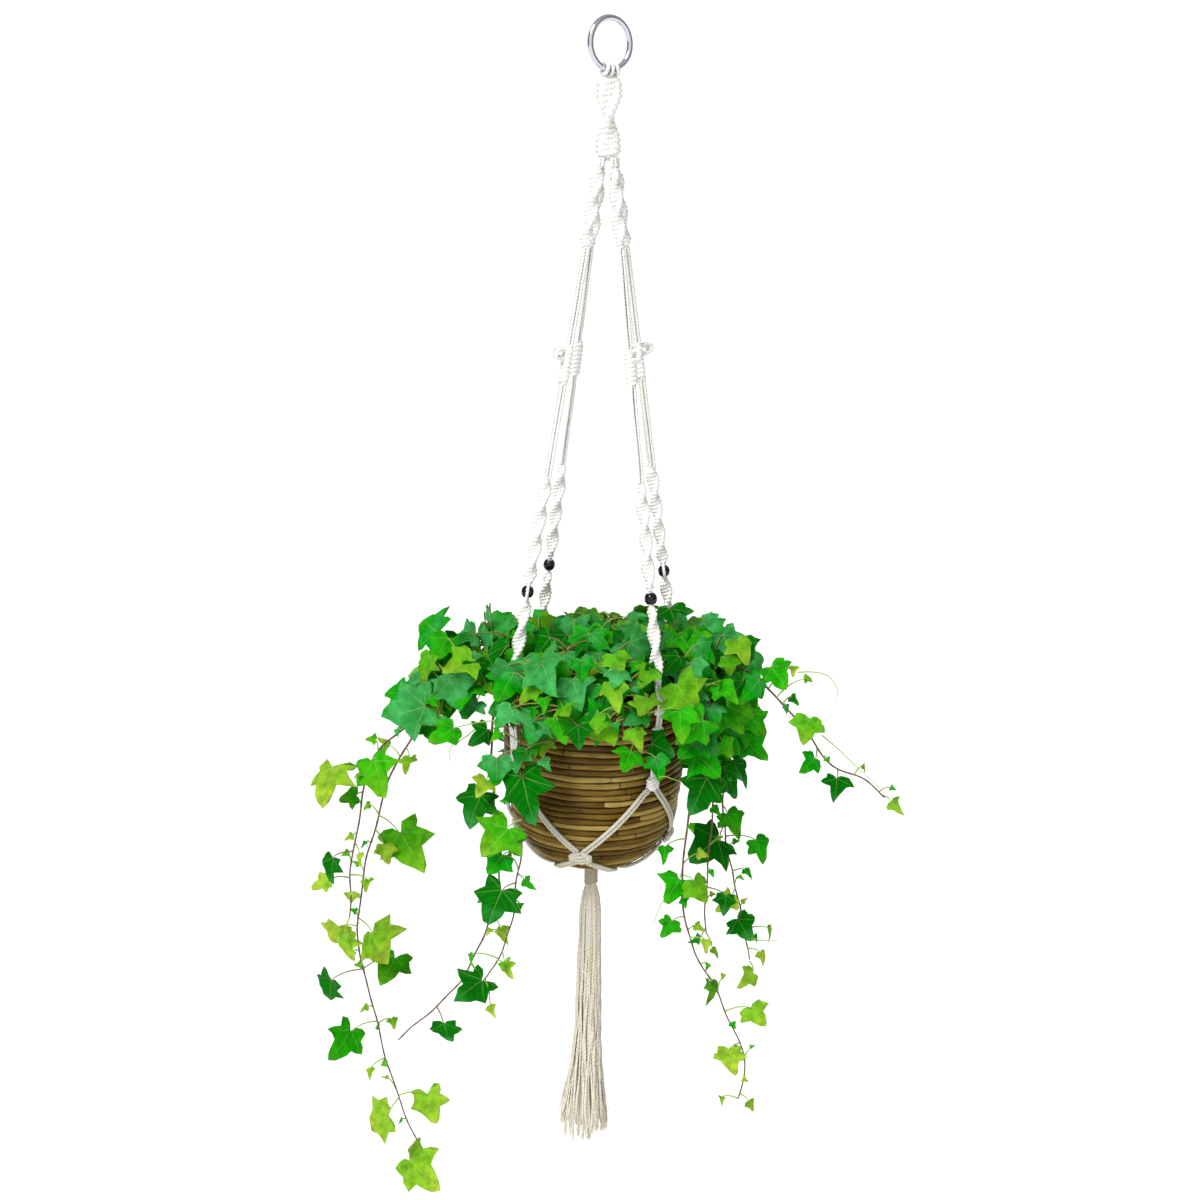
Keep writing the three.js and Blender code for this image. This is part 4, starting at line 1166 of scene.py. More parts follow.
@dataclass
class Tassel:
    """The whipped collar and the cord ends that hang from it."""

    collar_top: float = -808.0
    collar_bottom: float = -834.0
    collar_radius: float = 6.0
    turns: int = 13
    top: float = -832.0
    bottom: float = -1125.0
    core_bottom: float = -1030.0
    strands: int = 92
    # How far out each of five cord ends in turn hangs, as a share of the tassel's width.
    layers: tuple = (1.0, 0.96, 0.8, 0.9, 0.5)
    yarns: int = 5
    lean: float = 4.0
    # Height and half width.
    spread: tuple = (
        (-832.0, 3.8), (-846.0, 8.0), (-862.0, 10.0), (-940.0, 12.0),
        (-1009.0, 13.6), (-1060.0, 18.5), (-1100.0, 24.5), (-1130.0, 25.0),
    )

    def build(self) -> None:
        """Turns of whipping cord, then cord ends in layers with loose yarns at their tips."""
        rng = np.random.default_rng(11)
        collar = Solids()
        t = np.linspace(0, self.turns, self.turns * 26)
        z = mix(self.collar_top - 1.0, self.collar_bottom + 1.0, t / self.turns)
        collar.tube(polar(self.collar_radius, 360 * t, z), 1.0, 7, lay=5.0)
        place(collar.mesh("whipped_collar", [WHIPPING.make()]), ("collar",))

        fringe = Solids()
        for i in range(self.strands):
            self.strand(fringe, 360 * i * 0.618, self.layers[i % len(self.layers)], rng)
        # A core of cord ends inside the fringe, a little darker than most strands: painted shade between
        # them.
        z = np.linspace(self.top, self.core_bottom, 30)
        core = between(self.spread, z) * np.linspace(0.9, 0.5, 30)
        fringe.tube(polar(0.0, 0.0, z), core, 16, tone=0.5)
        place(fringe.mesh("tassel_cord_ends", [RAW_COTTON.make()]), ("tassel",))

    def strand(self, fringe: Solids, azimuth: float, inner: float, rng: Rng) -> None:
        """One cord end, and the yarns that it frays into.

        Args:
            fringe: Where it goes.
            azimuth: Where it leaves the collar.
            inner: Its share of the fringe's width.
            rng: Draws its length and its waves.
        """
        end = mix(self.bottom + 6, self.bottom + 34, rng.random() ** 1.2)
        z = np.arange(self.top, end, -4.2)
        drop = (self.top - z) / (self.top - self.bottom)
        free = np.clip(drop * 2, 0, 1)
        wave = np.sin(z / rng.uniform(5, 9) + rng.uniform(0, 6)) * free
        sway = np.sin(z / rng.uniform(26, 50) + rng.uniform(0, 6)) * free
        radius = between(self.spread, z) * inner
        path = polar(radius + 0.5 * wave, azimuth + 7 * sway + rng.uniform(-14, 14) * drop, z)
        path[:, 0] -= self.lean * np.clip(drop - 0.55, 0, 1) * 1.6
        width = 1.25 * (1 - 0.2 * drop) * (1 + 0.12 * wave)
        width[-1] *= 0.4
        fringe.tube(path, width, 7, tone=0.7 * rng.random() ** 2, lay=rng.uniform(16, 26))
        for _ in range(self.yarns):
            start = len(path) - rng.integers(8, 22)
            tail = path[start:].copy()
            t = np.linspace(0, 1, len(tail))
            away = polar(1.0, rng.uniform(0, 360), 0.0)
            tail += away * (rng.uniform(0.8, 3.6) * t**1.4)[:, None]
            tail[:, 2] += rng.uniform(-3, 5) * t
            fringe.tube(tail, 0.45 * (1 - 0.4 * t), 4, tone=0.6 * rng.random())


# The basket and what is in it

# How far up the soil reaches.
SOIL_TOP = -640.0


@dataclass
class Basket:
    """Rings of cane laid on each other, with a rolled rim and a lining of pith whose dark colour is painted
    shade between the canes.
    """

    form: BasketForm
    cane: float = 2.85
    pitch: float = 6.35
    wall_top: float = -628.0
    lining_top: float = -624.0
    # Distance from the axis, height and radius of each cane of the rim.
    rim: tuple = ((95.7, -623.4, 3.1), (96.2, -617.2, 3.1), (92.6, -615.5, 3.0), (91.4, -620.6, 2.9))
    lining_crest: tuple = (91.5, -622.0)

    def ring(
        self, solids: Solids, radius: float, z: float, cane: float, rng: Rng, shade: float = 0.0
    ) -> None:
        """One ring, made of lengths of cane that meet end to end.

        Args:
            solids: Where it goes.
            radius: The distance of its middle from the axis.
            z: Its height.
            cane: The radius of the cane.
            rng: Draws the joints, the waves and the tone.
            shade: How much darker it is painted than the rest, as painted shade.
        """
        lengths = 1 if radius < 25 else int(rng.integers(2, 4))
        starts = np.sort(rng.uniform(0, 360, lengths))
        if lengths > 1:
            starts = starts[0] + np.arange(lengths) * 360 / lengths + rng.uniform(-30, 30, lengths)
        gap = math.degrees(0.35 / radius)
        phase = rng.uniform(0, 6, 4)
        for i, start in enumerate(starts):
            end = starts[(i + 1) % lengths] + (360 if i == lengths - 1 else 0)
            count = max(12, int((end - start) * math.radians(1) * radius / 5.5))
            a = np.linspace(start + gap, end - gap, count)
            turn = np.radians(a)
            r = radius + 0.28 * np.sin(5 * turn + phase[0]) + 0.2 * np.sin(13 * turn + phase[1])
            h = z + 0.3 * np.sin(4 * turn + phase[2]) + 0.22 * np.sin(11 * turn + phase[3])
            thick = cane * (1 + 0.05 * np.sin(7 * turn + phase[1])) * rng.uniform(0.95, 1.04)
            thick[[0, -1]] *= 0.8
            solids.tube(polar(r, a, h), thick, 8, tone=float(rng.uniform(0.2, 0.85)) - shade)

    def build(self) -> None:
        """The canes from the middle of the base to the neck, the rim, and the lining."""
        form = self.form
        rng = np.random.default_rng(5)
        solids = Solids()
        # Points up the outside: distance from the axis and height, a millimetre apart or less.
        rows = [form.bowl(angle) for angle in np.linspace(90, 0, 160)]
        rows += [form.wall_at(z, 0.0) for z in np.linspace(form.belly_z + 1, self.wall_top, 50)]
        line = np.array([(float(r), float(z)) for r, z in rows])
        run = running(line)
        count = round(run[-1] / self.pitch)
        slope = np.gradient(line, axis=0)
        slope /= np.linalg.norm(slope, axis=1)[:, None]
        for i in range(count):
            s = (i + 0.5) * run[-1] / count
            r, z = (np.interp(s, run, line[:, k]) for k in (0, 1))
            dr, dz = (np.interp(s, run, slope[:, k]) for k in (0, 1))
            self.ring(solids, r - dz * self.cane, z + dr * self.cane, self.cane, rng)
        # The coils of the base are painted darker: painted shade under the basket.
        for radius in np.arange(form.base - self.cane * 1.6, 3, -self.pitch):
            self.ring(solids, radius, form.base_z + self.cane, self.cane, rng, 0.6)
        for radius, z, cane in self.rim:
            self.ring(solids, radius, z, cane, rng)
        place(solids.mesh("coiled_canes", [CANE.make()]), ("basket",))

        outside = form.profile(self.cane, self.wall_top)
        inside = form.profile(form.wall, self.lining_top)
        lining = turned("basket_lining", outside + [self.lining_crest] + inside[::-1], 96)
        lining.data.materials.append(PITH_PAINTED_SHADE.make())
        place(lining, ("basket",))


@dataclass
class PottedSoil:
    """The plastic lining that stands in the basket, and the soil in it."""

    form: BasketForm
    gap: float = 0.4
    wall: float = 1.2
    top: float = -626.0
    lip: float = 0.6
    lip_height: float = 0.5

    def build(self) -> None:
        """A thin pot with a rolled lip, and soil with a crumbled top."""
        outer = self.form.wall + self.gap
        inner = outer + self.wall
        outside = self.form.profile(outer, self.top)
        inside = self.form.profile(inner, self.top)
        mouth = outside[-1][0]
        lip = [(mouth, self.top), (mouth - self.lip, self.top + self.lip_height)]
        pot = turned("pot_liner", outside + lip + inside[::-1], 96)
        pot.data.materials.append(POT_PLASTIC.make())
        place(pot, ("liner",))

        rng = np.random.default_rng(23)
        edge = self.form.profile(inner + self.gap, SOIL_TOP)
        reach = edge[-1][0]
        top = [(r, SOIL_TOP) for r in np.linspace(reach, 0, 30)[1:]]
        soil = turned("potting_soil", edge + top, 90)
        for vertex in soil.data.vertices:
            if vertex.co.z > (SOIL_TOP - 0.01) * MM and vertex.co.xy.length < (reach - 1) * MM:
                vertex.co.z += rng.uniform(-1.6, 0.4) * MM
        soil.data.materials.append(POTTING_SOIL.make())
        place(soil, ("soil",))


# Ivy: the same rule as the solids' grows the leaves, and smaller ones fill in between


class Seeded:
    """A stream of numbers from 0 to 1 that is the same on every run."""

    FACTOR = 48271
    PERIOD = 2147483647

    def __init__(self, seed: int) -> None:
        """Starts the stream."""
        self.state = seed

    def __call__(self) -> float:
        """The next number."""
        self.state = self.state * self.FACTOR % self.PERIOD
        return self.state / self.PERIOD


@dataclass
class Leaf:
    """One leaf: the foot of its stalk, its blade's base and frame, and its colour."""

    foot: Array
    base: Array
    along: Array
    across: Array
    normal: Array
    length: float
    middle: Array
    tone: float = Tone.MID.value


# A blade's middle lies this far up it and this far under its face, for a blade one long.
BLADE_MIDDLE = 0.36
BLADE_DROP = 0.055
# The size over the lobes of a blade that is one long from its base to its tip.
BLADE_SIZE = 1.12
STEM_RADIUS = 1.75
# The radius that a stalk takes, and the least gap between any two things.
STALK_ROOM = 1.3
CLEAR = 0.4
# The top of the plant at its middle, and how much it falls for each millimetre to the rear.
LEAF_TOP = -556.0
REAR_FALL = 0.2
# Leaves that hang lower than this are young, and so lighter.
YOUNG_BELOW = -640.0
ROOT_Z = -652.0
RISE_Z = -628.0
BUNCH_TOP = -624.0


def make_leaf(foot: Array, base: Array, tip: Array, face: Array, size: float) -> Leaf:
    """A leaf from its blade's base, tip direction, face and size.

    Args:
        foot: Where its stalk leaves the stem.
        base: Where the stalk meets the blade.
        tip: The direction of the blade's tip.
        face: The direction that the blade faces.
        size: The length of the blade over its lobes.

    Returns:
        The leaf.
    """
    length = size / BLADE_SIZE
    normal = unit(face)
    along = unit(tip - normal * (tip @ normal))
    across = np.cross(along, normal)
    middle = base + along * BLADE_MIDDLE * length - normal * BLADE_DROP * length
    return Leaf(foot, base, along, across, normal, length, middle)


def eased(route: Array) -> Array:
    """A route with its corners cut once, so that the stem bends as a stem does."""
    cuts = [mix(a, b, share) for a, b in zip(route, route[1:]) for share in (0.25, 0.75)]
    return np.array([route[0], *cuts[1:-1], route[-1]])


def line_length(line: Array) -> float:
    """The length of a line through points."""
    return float(sum(math.sqrt(d @ d) for d in np.diff(line, axis=0)))


def along_line(line: Array, distance: float) -> Array:
    """The point that lies a distance along a line.

    Args:
        line: The line, corner by corner.
        distance: How far from its start.

    Returns:
        The point, or the line's end where the line is shorter.
    """
    left = distance
    for a, b in zip(line, line[1:]):
        step = math.sqrt((b - a) @ (b - a))
        if left <= step:
            return mix(a, b, left / step)
        left -= step
    return line[-1].copy()


def nearest_on(line: Array, point: Array) -> Array:
    """The place on a line, past its root, that is nearest to a point."""
    spots = [line[0]] + [along_line(line, s) for s in np.arange(30, line_length(line) - 1, 3)]
    return spots[int(np.argmin([(p - point) @ (p - point) for p in spots]))]


def facing(at: Array, random: Seeded) -> Array:
    """How a blade faces at a place: outwards, up, and to the light at the front."""
    stray = vec(random() - 0.5, random() - 0.5, random() - 0.5) * 0.7
    return UP * 0.5 + unit(vec(at[0], at[1], 0)) * 0.35 + FRONT * (0.8 if at[1] < 45 else 0.0) + stray


def placed_leaf(line: Array, spot: tuple, random: Seeded) -> Leaf:
    """A leaf whose blade is at a given place.

    Args:
        line: The stem that carries it.
        spot: Its x, y, z, size and tone, and how far its tip turns towards +X.
        random: Draws its pose.

    Returns:
        The leaf.
    """
    x, y, z, size, tone, *swing = spot
    middle = vec(x, y, z)
    face = unit(facing(middle, random))
    rough = nearest_on(line, middle + UP * size * 0.4)
    side = middle - rough
    side[2] = 0
    side = unit(side)
    tip = vec(*(swing or (0,)), 0, -1) + side * 0.55 + vec(random() - 0.5, 0, random() - 0.5) * 0.5
    leaf = make_leaf(rough, middle, tip, face, size)
    base = middle - leaf.along * BLADE_MIDDLE * leaf.length
    leaf = make_leaf(nearest_on(line, base + UP * 4), base, tip, face, size)
    leaf.tone = tone.value
    return leaf


@dataclass
class Clearings:
    """What a new leaf must stay clear of: blades as flat round slabs, and stems and cords as beads."""

    form: BasketForm
    # The radius of a slab and half its thickness, by its blade's length, and what that half gains.
    reach: float
    half: float
    skin: float
    step: float = 4.0
    margin: float = 3.0
    slabs: Array = field(default_factory=lambda: np.empty((0, 8)))
    beads: Array = field(default_factory=lambda: np.empty((0, 5)))

    def strew(self, line: Array | tuple, radius: float, owner: int) -> None:
        """Puts beads along a line.

        Args:
            line: Its points.
            radius: The radius of each bead.
            owner: The number of the stem that they belong to, or -1.
        """
        for start, end in zip(line, line[1:]):
            steps = max(1, math.ceil(math.sqrt((start - end) @ (start - end)) / self.step))
            share = (np.arange(steps + 1) / steps)[:, None]
            rest = np.tile((radius, owner), (steps + 1, 1))
            self.beads = np.vstack([self.beads, np.hstack([start + (end - start) * share, rest])])

    def slab(self, leaf: Leaf) -> Array:
        """A leaf's slab as one row: its middle, normal, radius and half thickness."""
        size = (self.reach * leaf.length, self.half * leaf.length + self.skin)
        return np.array([*leaf.middle, *leaf.normal, *size])

    def keep(self, leaf: Leaf, owner: int) -> None:
        """Takes the room of a leaf and its stalk."""
        self.slabs = np.vstack([self.slabs, self.slab(leaf)])
        self.strew((mix(leaf.foot, leaf.base, 0.25), leaf.base), STALK_ROOM, owner)

    def off_basket(self, p: Array) -> Array:
        """Whether points are clear of the basket and the soil.

        Args:
            p: One point or many.

        Returns:
            True for each point that is outside them, or inside the basket over the soil.
        """
        form, margin = self.form, self.margin
        radius = np.hypot(p[..., 0], p[..., 1])
        inside = (p[..., 2] > SOIL_TOP + margin) & (radius < form.belly - form.wall - 2 * margin)
        return (p[..., 2] > form.rim_top + margin) | (radius > form.rim_outer + margin) | inside

    @staticmethod
    def bare(p: Array) -> bool:
        """Whether a point lies where the canes show between the leaves, at the right or in front."""
        x, y, z = p
        return (z < -608 and 44 < x < 92 and y < 70) or (z < -634 and abs(x - 2) < 46 and y < -60)

    def slabs_apart(self, a: Array) -> bool:
        """Whether a slab is clear of all others.

        Args:
            a: The slab as a row.

        Returns:
            True where it meets none of them.
        """
        b = self.slabs
        apart = b[:, :3] - a[:3]
        far = np.sqrt((apart**2).sum(1)) > a[6] + b[:, 6]
        cos = np.abs(b[:, 3:6] @ a[3:6])
        sin = np.sqrt(np.maximum(0, 1 - cos * cos))
        one = np.abs(apart @ a[3:6]) > a[7] + b[:, 7] * cos + CLEAR + b[:, 6] * sin
        two = np.abs((apart * b[:, 3:6]).sum(1)) > b[:, 7] + a[7] * cos + CLEAR + a[6] * sin
        return bool(np.all(far | one | two))

    @staticmethod
    def beads_off(at: Array, radius: Array, slabs: Array) -> bool:
        """Whether beads are clear of slabs, row by row.

        Args:
            at: The middle of each bead.
            radius: The radius of each bead.
            slabs: A slab for each bead, or one bead's slabs.

        Returns:
            True where none meet.
        """
        apart = at - slabs[:, :3]
        height = (apart * slabs[:, 3:6]).sum(1)
        flat = np.sqrt(np.maximum(0, (apart**2).sum(1) - height * height))
        over = np.maximum(0, np.abs(height) - slabs[:, 7])
        beyond = np.maximum(0, flat - slabs[:, 6])
        return bool(np.all(over * over + beyond * beyond > (radius + CLEAR) ** 2))

    def fits(self, leaf: Leaf, owner: int) -> bool:
        """Whether there is room for a leaf and its stalk.

        Args:
            leaf: The leaf.
            owner: The number of its stem, whose stalks it may touch.

        Returns:
            True where nothing is in its way.
        """
        slab = self.slab(leaf)
        i = np.arange(16)
        a = np.pi / 4 * i
        reach = slab[6] * np.where(i < 8, 1, 0.5)
        ahead, beside = ((reach * turn(a))[:, None] for turn in (np.cos, np.sin))
        rim = leaf.middle + leaf.along * ahead + leaf.across * beside
        if not np.all(self.off_basket(rim)) or not self.off_basket(leaf.middle):
            return False
        if leaf.middle[2] > LEAF_TOP - REAR_FALL * max(0, leaf.middle[1]):
            return False
        row = np.broadcast_to(slab, (len(self.beads), 8))
        clear = self.slabs_apart(slab) and self.beads_off(self.beads[:, :3], self.beads[:, 3], row)
        if not clear:
            return False
        stalk = leaf.base - leaf.foot
        steps = math.ceil(math.sqrt(stalk @ stalk) / self.step)
        others = self.beads[self.beads[:, 4] != owner]
        for k in range(1, steps + 1):
            p = leaf.foot + stalk * (k / steps)
            if not self.off_basket(p) or not self.beads_off(p, STALK_ROOM, self.slabs):
                return False
            if np.any(np.sqrt(((others[:, :3] - p) ** 2).sum(1)) < others[:, 3] + STALK_ROOM + CLEAR):
                return False
        return True


@dataclass
class Shoot:
    """A stem and its leaves."""

    name: str
    owner: int
    line: Array
    leaves: list = field(default_factory=list)

    def take(self, room: Clearings, leaf: Leaf) -> None:
        """Keeps a leaf and its room."""
        room.keep(leaf, self.owner)
        self.leaves.append(leaf)

    def grow(self, room: Clearings, stretch: tuple, random: Seeded, palette: tuple) -> None:
        """Clothes a stretch of the stem with leaves where there is room.

        Args:
            room: What the leaves must stay clear of.
            stretch: Where it starts and ends, the spacing, and the sizes at both ends.
            random: Draws the poses.
            palette: The tones that the leaves take in turn.
        """
        start, stop, spacing, first, last = stretch
        side = 1
        end = min(stop, line_length(self.line) - 4)
        s = start
        while s < end:
            size = mix(first, last, (s - start) / (stop - start))
            leaf = self.one_leaf(room, along_line(self.line, s), side, size, random)
            side = -side
            if leaf:
                leaf.tone = palette[len(self.leaves) % len(palette)].value
                self.take(room, leaf)
            s += spacing * (0.8 + 0.4 * random())

    def crowd(self, room: Clearings, stretch: tuple, random: Seeded, palette: tuple) -> None:
        """Fills the space round a stretch of the stem with more leaves.

        Args:
            room: What the leaves must stay clear of.
            stretch: Where it starts and ends, the number of tries, and the size.
            random: Draws the places and poses.
            palette: The tones that the leaves take in turn.
        """
        start, stop, tries, size = stretch
        for _ in range(tries):
            at = along_line(self.line, mix(start, stop, random()))
            out = unit(vec(at[0], at[1], 0))
            side = np.cross(UP, out)
            middle = at + out * (24 * random() - 6) + side * (60 * random() - 30)
            middle = middle + UP * (32 * random() - 17)
            tone = palette[len(self.leaves) % len(palette)]
            spot = (*middle, size * (0.7 + 0.5 * random()), tone, 1.8 * random() - 0.9)
            leaf = placed_leaf(self.line, spot, random)
            if not room.bare(middle) and room.fits(leaf, self.owner):
                self.take(room, leaf)

    def one_leaf(self, room: Clearings, foot: Array, side: int, size: float, random: Seeded) -> Leaf | None:
        """One leaf at a place on the stem.

        Args:
            room: What it must stay clear of.
            foot: The place.
            side: The side of the stem, 1 or -1.
            size: Its usual size.
            random: Draws its size and pose.

        Returns:
            The leaf, or none where eight tries find no room.
        """
        out = unit(vec(foot[0], foot[1], 0))
        lateral = np.cross(UP, out) * side
        for _ in range(8):
            long = size * (0.72 + 0.5 * random())
            reach = 8 + long * (0.2 + 0.65 * random())
            stalk = lateral * (0.3 + random())
            stalk = stalk + UP * (0.2 + 0.9 * random())
            stalk = unit(stalk + out * (0.7 * random()))
            base = foot + stalk * reach
            tip = vec(0, 0, 0.1 - 1.2 * random()) + out * 0.6
            tip = tip + lateral * (1.3 * random() - 0.2)
            leaf = make_leaf(foot, base, tip, facing(base, random), long)
            if room.fits(leaf, self.owner):
                return leaf
        return None


class Lobes(Enum):
    """The right edge of a blade one unit long, from beside the stalk to below the tip."""

    FIVE = (
        (0.02, 0.02), (0.13, -0.11), (0.28, -0.17), (0.47, -0.15), (0.45, -0.01), (0.40, 0.11),
        (0.52, 0.22), (0.64, 0.37), (0.48, 0.44), (0.31, 0.49), (0.26, 0.65), (0.15, 0.86),
    )
    THREE = (
        (0.02, 0.02), (0.12, -0.06), (0.25, -0.09), (0.40, -0.05), (0.43, 0.04), (0.43, 0.12),
        (0.52, 0.20), (0.60, 0.33), (0.44, 0.40), (0.29, 0.46), (0.24, 0.64), (0.14, 0.86),
    )
    SMALL = (
        (0.02, 0.02), (0.10, -0.03), (0.21, -0.03), (0.31, 0.02), (0.38, 0.07), (0.43, 0.115),
        (0.45, 0.155), (0.455, 0.195), (0.33, 0.31), (0.22, 0.44), (0.17, 0.64), (0.09, 0.85),
    )

    @classmethod
    def of(cls, length: float) -> "Lobes":
        """The lobes of a blade by its length."""
        return cls.FIVE if length > 34 else cls.THREE if length > 20 else cls.SMALL


class BladeForm:
    """An ivy blade modelled once: a thin closed sheet with edges at its lobes and veins."""

    RIGHT = (
        (25, 0, 1, 30), (30, 1, 2, 3), (30, 3, 4, 5), (25, 30, 5, 29), (29, 5, 6, 7),
        (29, 7, 8, 9), (26, 29, 9, 27), (27, 9, 10, 28), (28, 10, 11, 12),
    )
    MIDDLE = ((25, 29, 26),)
    # How high points stand off a flat blade, by what lies there.
    LIFTS = (
        ((3, 7, 12, 16, 20), -0.035),
        ((5, 9, 18, 22), 0.03),
        ((26, 27, 28), -0.018),
        ((29, 30, 31, 32), -0.012),
        ((10, 23, 8, 21, 6, 19, 4, 17), 0.01),
    )
    # The spread of a blade's turn about each of its directions, in radians.
    TURN = 0.3
    THICKNESS = 0.5

    def __init__(self, lobes: Lobes) -> None:
        """Lays out the points and faces of one kind of blade.

        Args:
            lobes: The kind of blade.
        """
        right = list(lobes.value)
        left = [(-x, y) for x, y in right]
        ribs = [(0, 0.04), (0, 0.27), (0, 0.5), (0, 0.75)]
        lateral = (right[7][0] * 0.5, right[7][1] * 0.5 + 0.015)
        basal = (right[3][0] * 0.5, right[3][1] * 0.5 + 0.02)
        inner = [lateral, basal, (-lateral[0], lateral[1]), (-basal[0], basal[1])]
        self.flat = np.array(right + [(0.0, 1.0)] + left + ribs + inner)
        count = len(self.flat)
        mirror = {i: i + 13 for i in range(12)} | {29: 31, 30: 32}
        self.quads, self.triangles = (
            np.array(list(half) + [tuple(mirror.get(i, i) for i in face)[::-1] for face in half])
            for half in (self.RIGHT, self.MIDDLE)
        )
        # The underside has its own points only inside the edge.
        self.inner = np.arange(26, count)
        self.under = np.arange(count)
        self.under[self.inner] = count + np.arange(len(self.inner))
        self.lift = np.zeros(count)
        for spots, height in self.LIFTS:
            self.lift[list(spots)] = height

    def cast(self, solids: Solids, leaf: Leaf, rng: Rng) -> None:
        """Adds a copy of the blade, bent in its own way, and its stalk.

        Args:
            solids: Where the leaf goes.
            leaf: Its frame, size and tone.
            rng: Draws its bend.
        """
        x, y = self.flat.T
        edge = (np.abs(x) > 0.05) * rng.normal(0, 0.018, (3, len(x)))
        x = x * rng.uniform(0.88, 1.1) + rng.uniform(-0.12, 0.12) * y * y + edge[0]
        y = y * np.where(x > 0, *rng.uniform(0.86, 1.04, 2)) + edge[1]
        height = (
            self.lift
            - rng.uniform(0.1, 0.7) * x * x
            - rng.uniform(0.05, 0.3) * (y - 0.3) ** 2
            + rng.uniform(-0.1, 0.45) * (np.abs(x) - 0.2)
            + rng.uniform(-0.3, 0.3) * x * y
            + rng.uniform(-0.3, 0.1) * np.clip(y - 0.5, 0, 1)
            + edge[2]
        )
        # The frame of the solid's blade, turned a little about each of its own directions.
        z_turn, x_turn, y_turn = (Matrix.Rotation(rng.normal(0, self.TURN), 3, axis) for axis in "ZXY")
        turn = np.array(z_turn @ (x_turn @ y_turn))
        across, along, normal = turn @ np.stack([leaf.across, leaf.along, leaf.normal])
        base = leaf.middle - along * BLADE_MIDDLE * leaf.length + normal * BLADE_DROP * leaf.length
        top = base + np.stack([x, y, height], 1) * leaf.length @ np.stack([across, along, normal])
        points = np.concatenate([top, top[self.inner] - normal * self.THICKNESS])
        flat_x, flat_y = self.flat.T
        uv = np.stack([0.5 + LEAF_SCALE_X * flat_x, (flat_y + LEAF_BELOW) * LEAF_SCALE_Y], 1)
        back = self.quads[:, [0, 3, 2, 1]]
        back_triangles = self.triangles[:, ::-1]
        blocks = [
            (self.quads, uv[self.quads], 0),
            (self.triangles, uv[self.triangles], 0),
            (self.under[back], uv[back], 1),
            (self.under[back_triangles], uv[back_triangles], 1),
        ]
        young = 0.12 * np.clip((YOUNG_BELOW - leaf.middle[2]) / 60, 0, 1) if leaf.tone else 0.0
        tone = np.clip(leaf.tone + young + 0.04 * rng.standard_normal(), 0, 1)
        solids.add(points, blocks, tone)
        t = np.linspace(0, 1, 6)[:, None]
        reach = base - leaf.foot
        sag = unit(np.cross(reach, np.cross(UP, reach)) + 1e-9) * (0.08 * math.sqrt(reach @ reach))
        path = leaf.foot + reach * t + sag * np.sin(np.pi * t)
        path[-1] += along * 1.2 - normal * 0.35
        solids.tube(path, np.linspace(0.85, 0.55, 6), 5, tone=0.4 + 0.6 * tone, finish=2)


# Each vine's place in the soil, from which it rises, and then its route, point by point.
VINE_ROUTES = {
    "vine_left_outer": (
        (-40, -14), (-62, -24, -598), (-98, -39, -590), (-138, -54, -600), (-160, -60, -632),
        (-200, -64, -663), (-219, -66, -694), (-224, -70, -739), (-234, -75, -784), (-234, -79, -842),
    ),
    "vine_left_inner": (
        (-44, 4), (-68, 3, -598), (-106, 2, -590), (-150, 0, -608), (-172, -4, -668), (-201, -6, -708),
        (-213, -8, -753), (-232, -10, -822), (-240, -12, -907), (-226, -13, -953), (-214, -15, -1015),
        (-195, -17, -1082), (-177, -20, -1124),
    ),
    "vine_front_left": (
        (-24, -34), (-38, -52, -596), (-58, -86, -590), (-68, -108, -612), (-70, -106, -660),
        (-67, -102, -702), (-65, -100, -744), (-72, -99, -800), (-76, -97, -846), (-101, -95, -897),
    ),
    "vine_left_low": (
        (-36, -28), (-52, -42, -600), (-76, -80, -596), (-94, -88, -616), (-98, -86, -664),
        (-94, -76, -730), (-87, -70, -795), (-98, -67, -845), (-116, -65, -893), (-133, -63, -924),
        (-165, -62, -956), (-192, -58, -984),
    ),
    "vine_far_right": (
        (44, -2), (62, -5, -594), (96, -13, -580), (136, -20, -590), (168, -22, -613), (204, -24, -650),
        (226, -26, -683), (244, -28, -697), (268, -29, -702), (290, -30, -722),
    ),
    "vine_right_front": (
        (38, -20), (60, -32, -600), (88, -46, -594), (106, -55, -618), (104, -54, -672), (98, -52, -705),
        (92, -50, -760), (89, -49, -810), (98, -48, -872), (127, -47, -921), (152, -46, -978),
        (166, -46, -1012), (155, -45, -1053),
    ),
    "vine_right_side": (
        (42, 10), (64, 14, -600), (98, 18, -590), (126, 18, -618), (134, 16, -680), (132, 15, -748),
        (138, 14, -798), (150, 12, -840), (162, 11, -898), (168, 10, -924),
    ),
    "vine_right_low": (
        (34, -10), (58, -17, -604), (90, -25, -598), (114, -26, -622), (122, -20, -690), (120, -17, -745),
        (116, -18, -840), (118, -20, -878),
    ),
    "vine_rear_left": (
        (-26, 34), (-38, 54, -600), (-56, 90, -592), (-66, 114, -622), (-62, 116, -700), (-50, 112, -770),
        (-44, 108, -830),
    ),
    "vine_rear_right": (
        (26, 36), (32, 56, -600), (44, 92, -590), (54, 118, -620), (50, 120, -690), (44, 116, -760),
        (34, 112, -800),
    ),
}
D, F, M, G, L, Y = Tone.DARK, Tone.FROST, Tone.MID, Tone.FRESH, Tone.LIME, Tone.GOLD
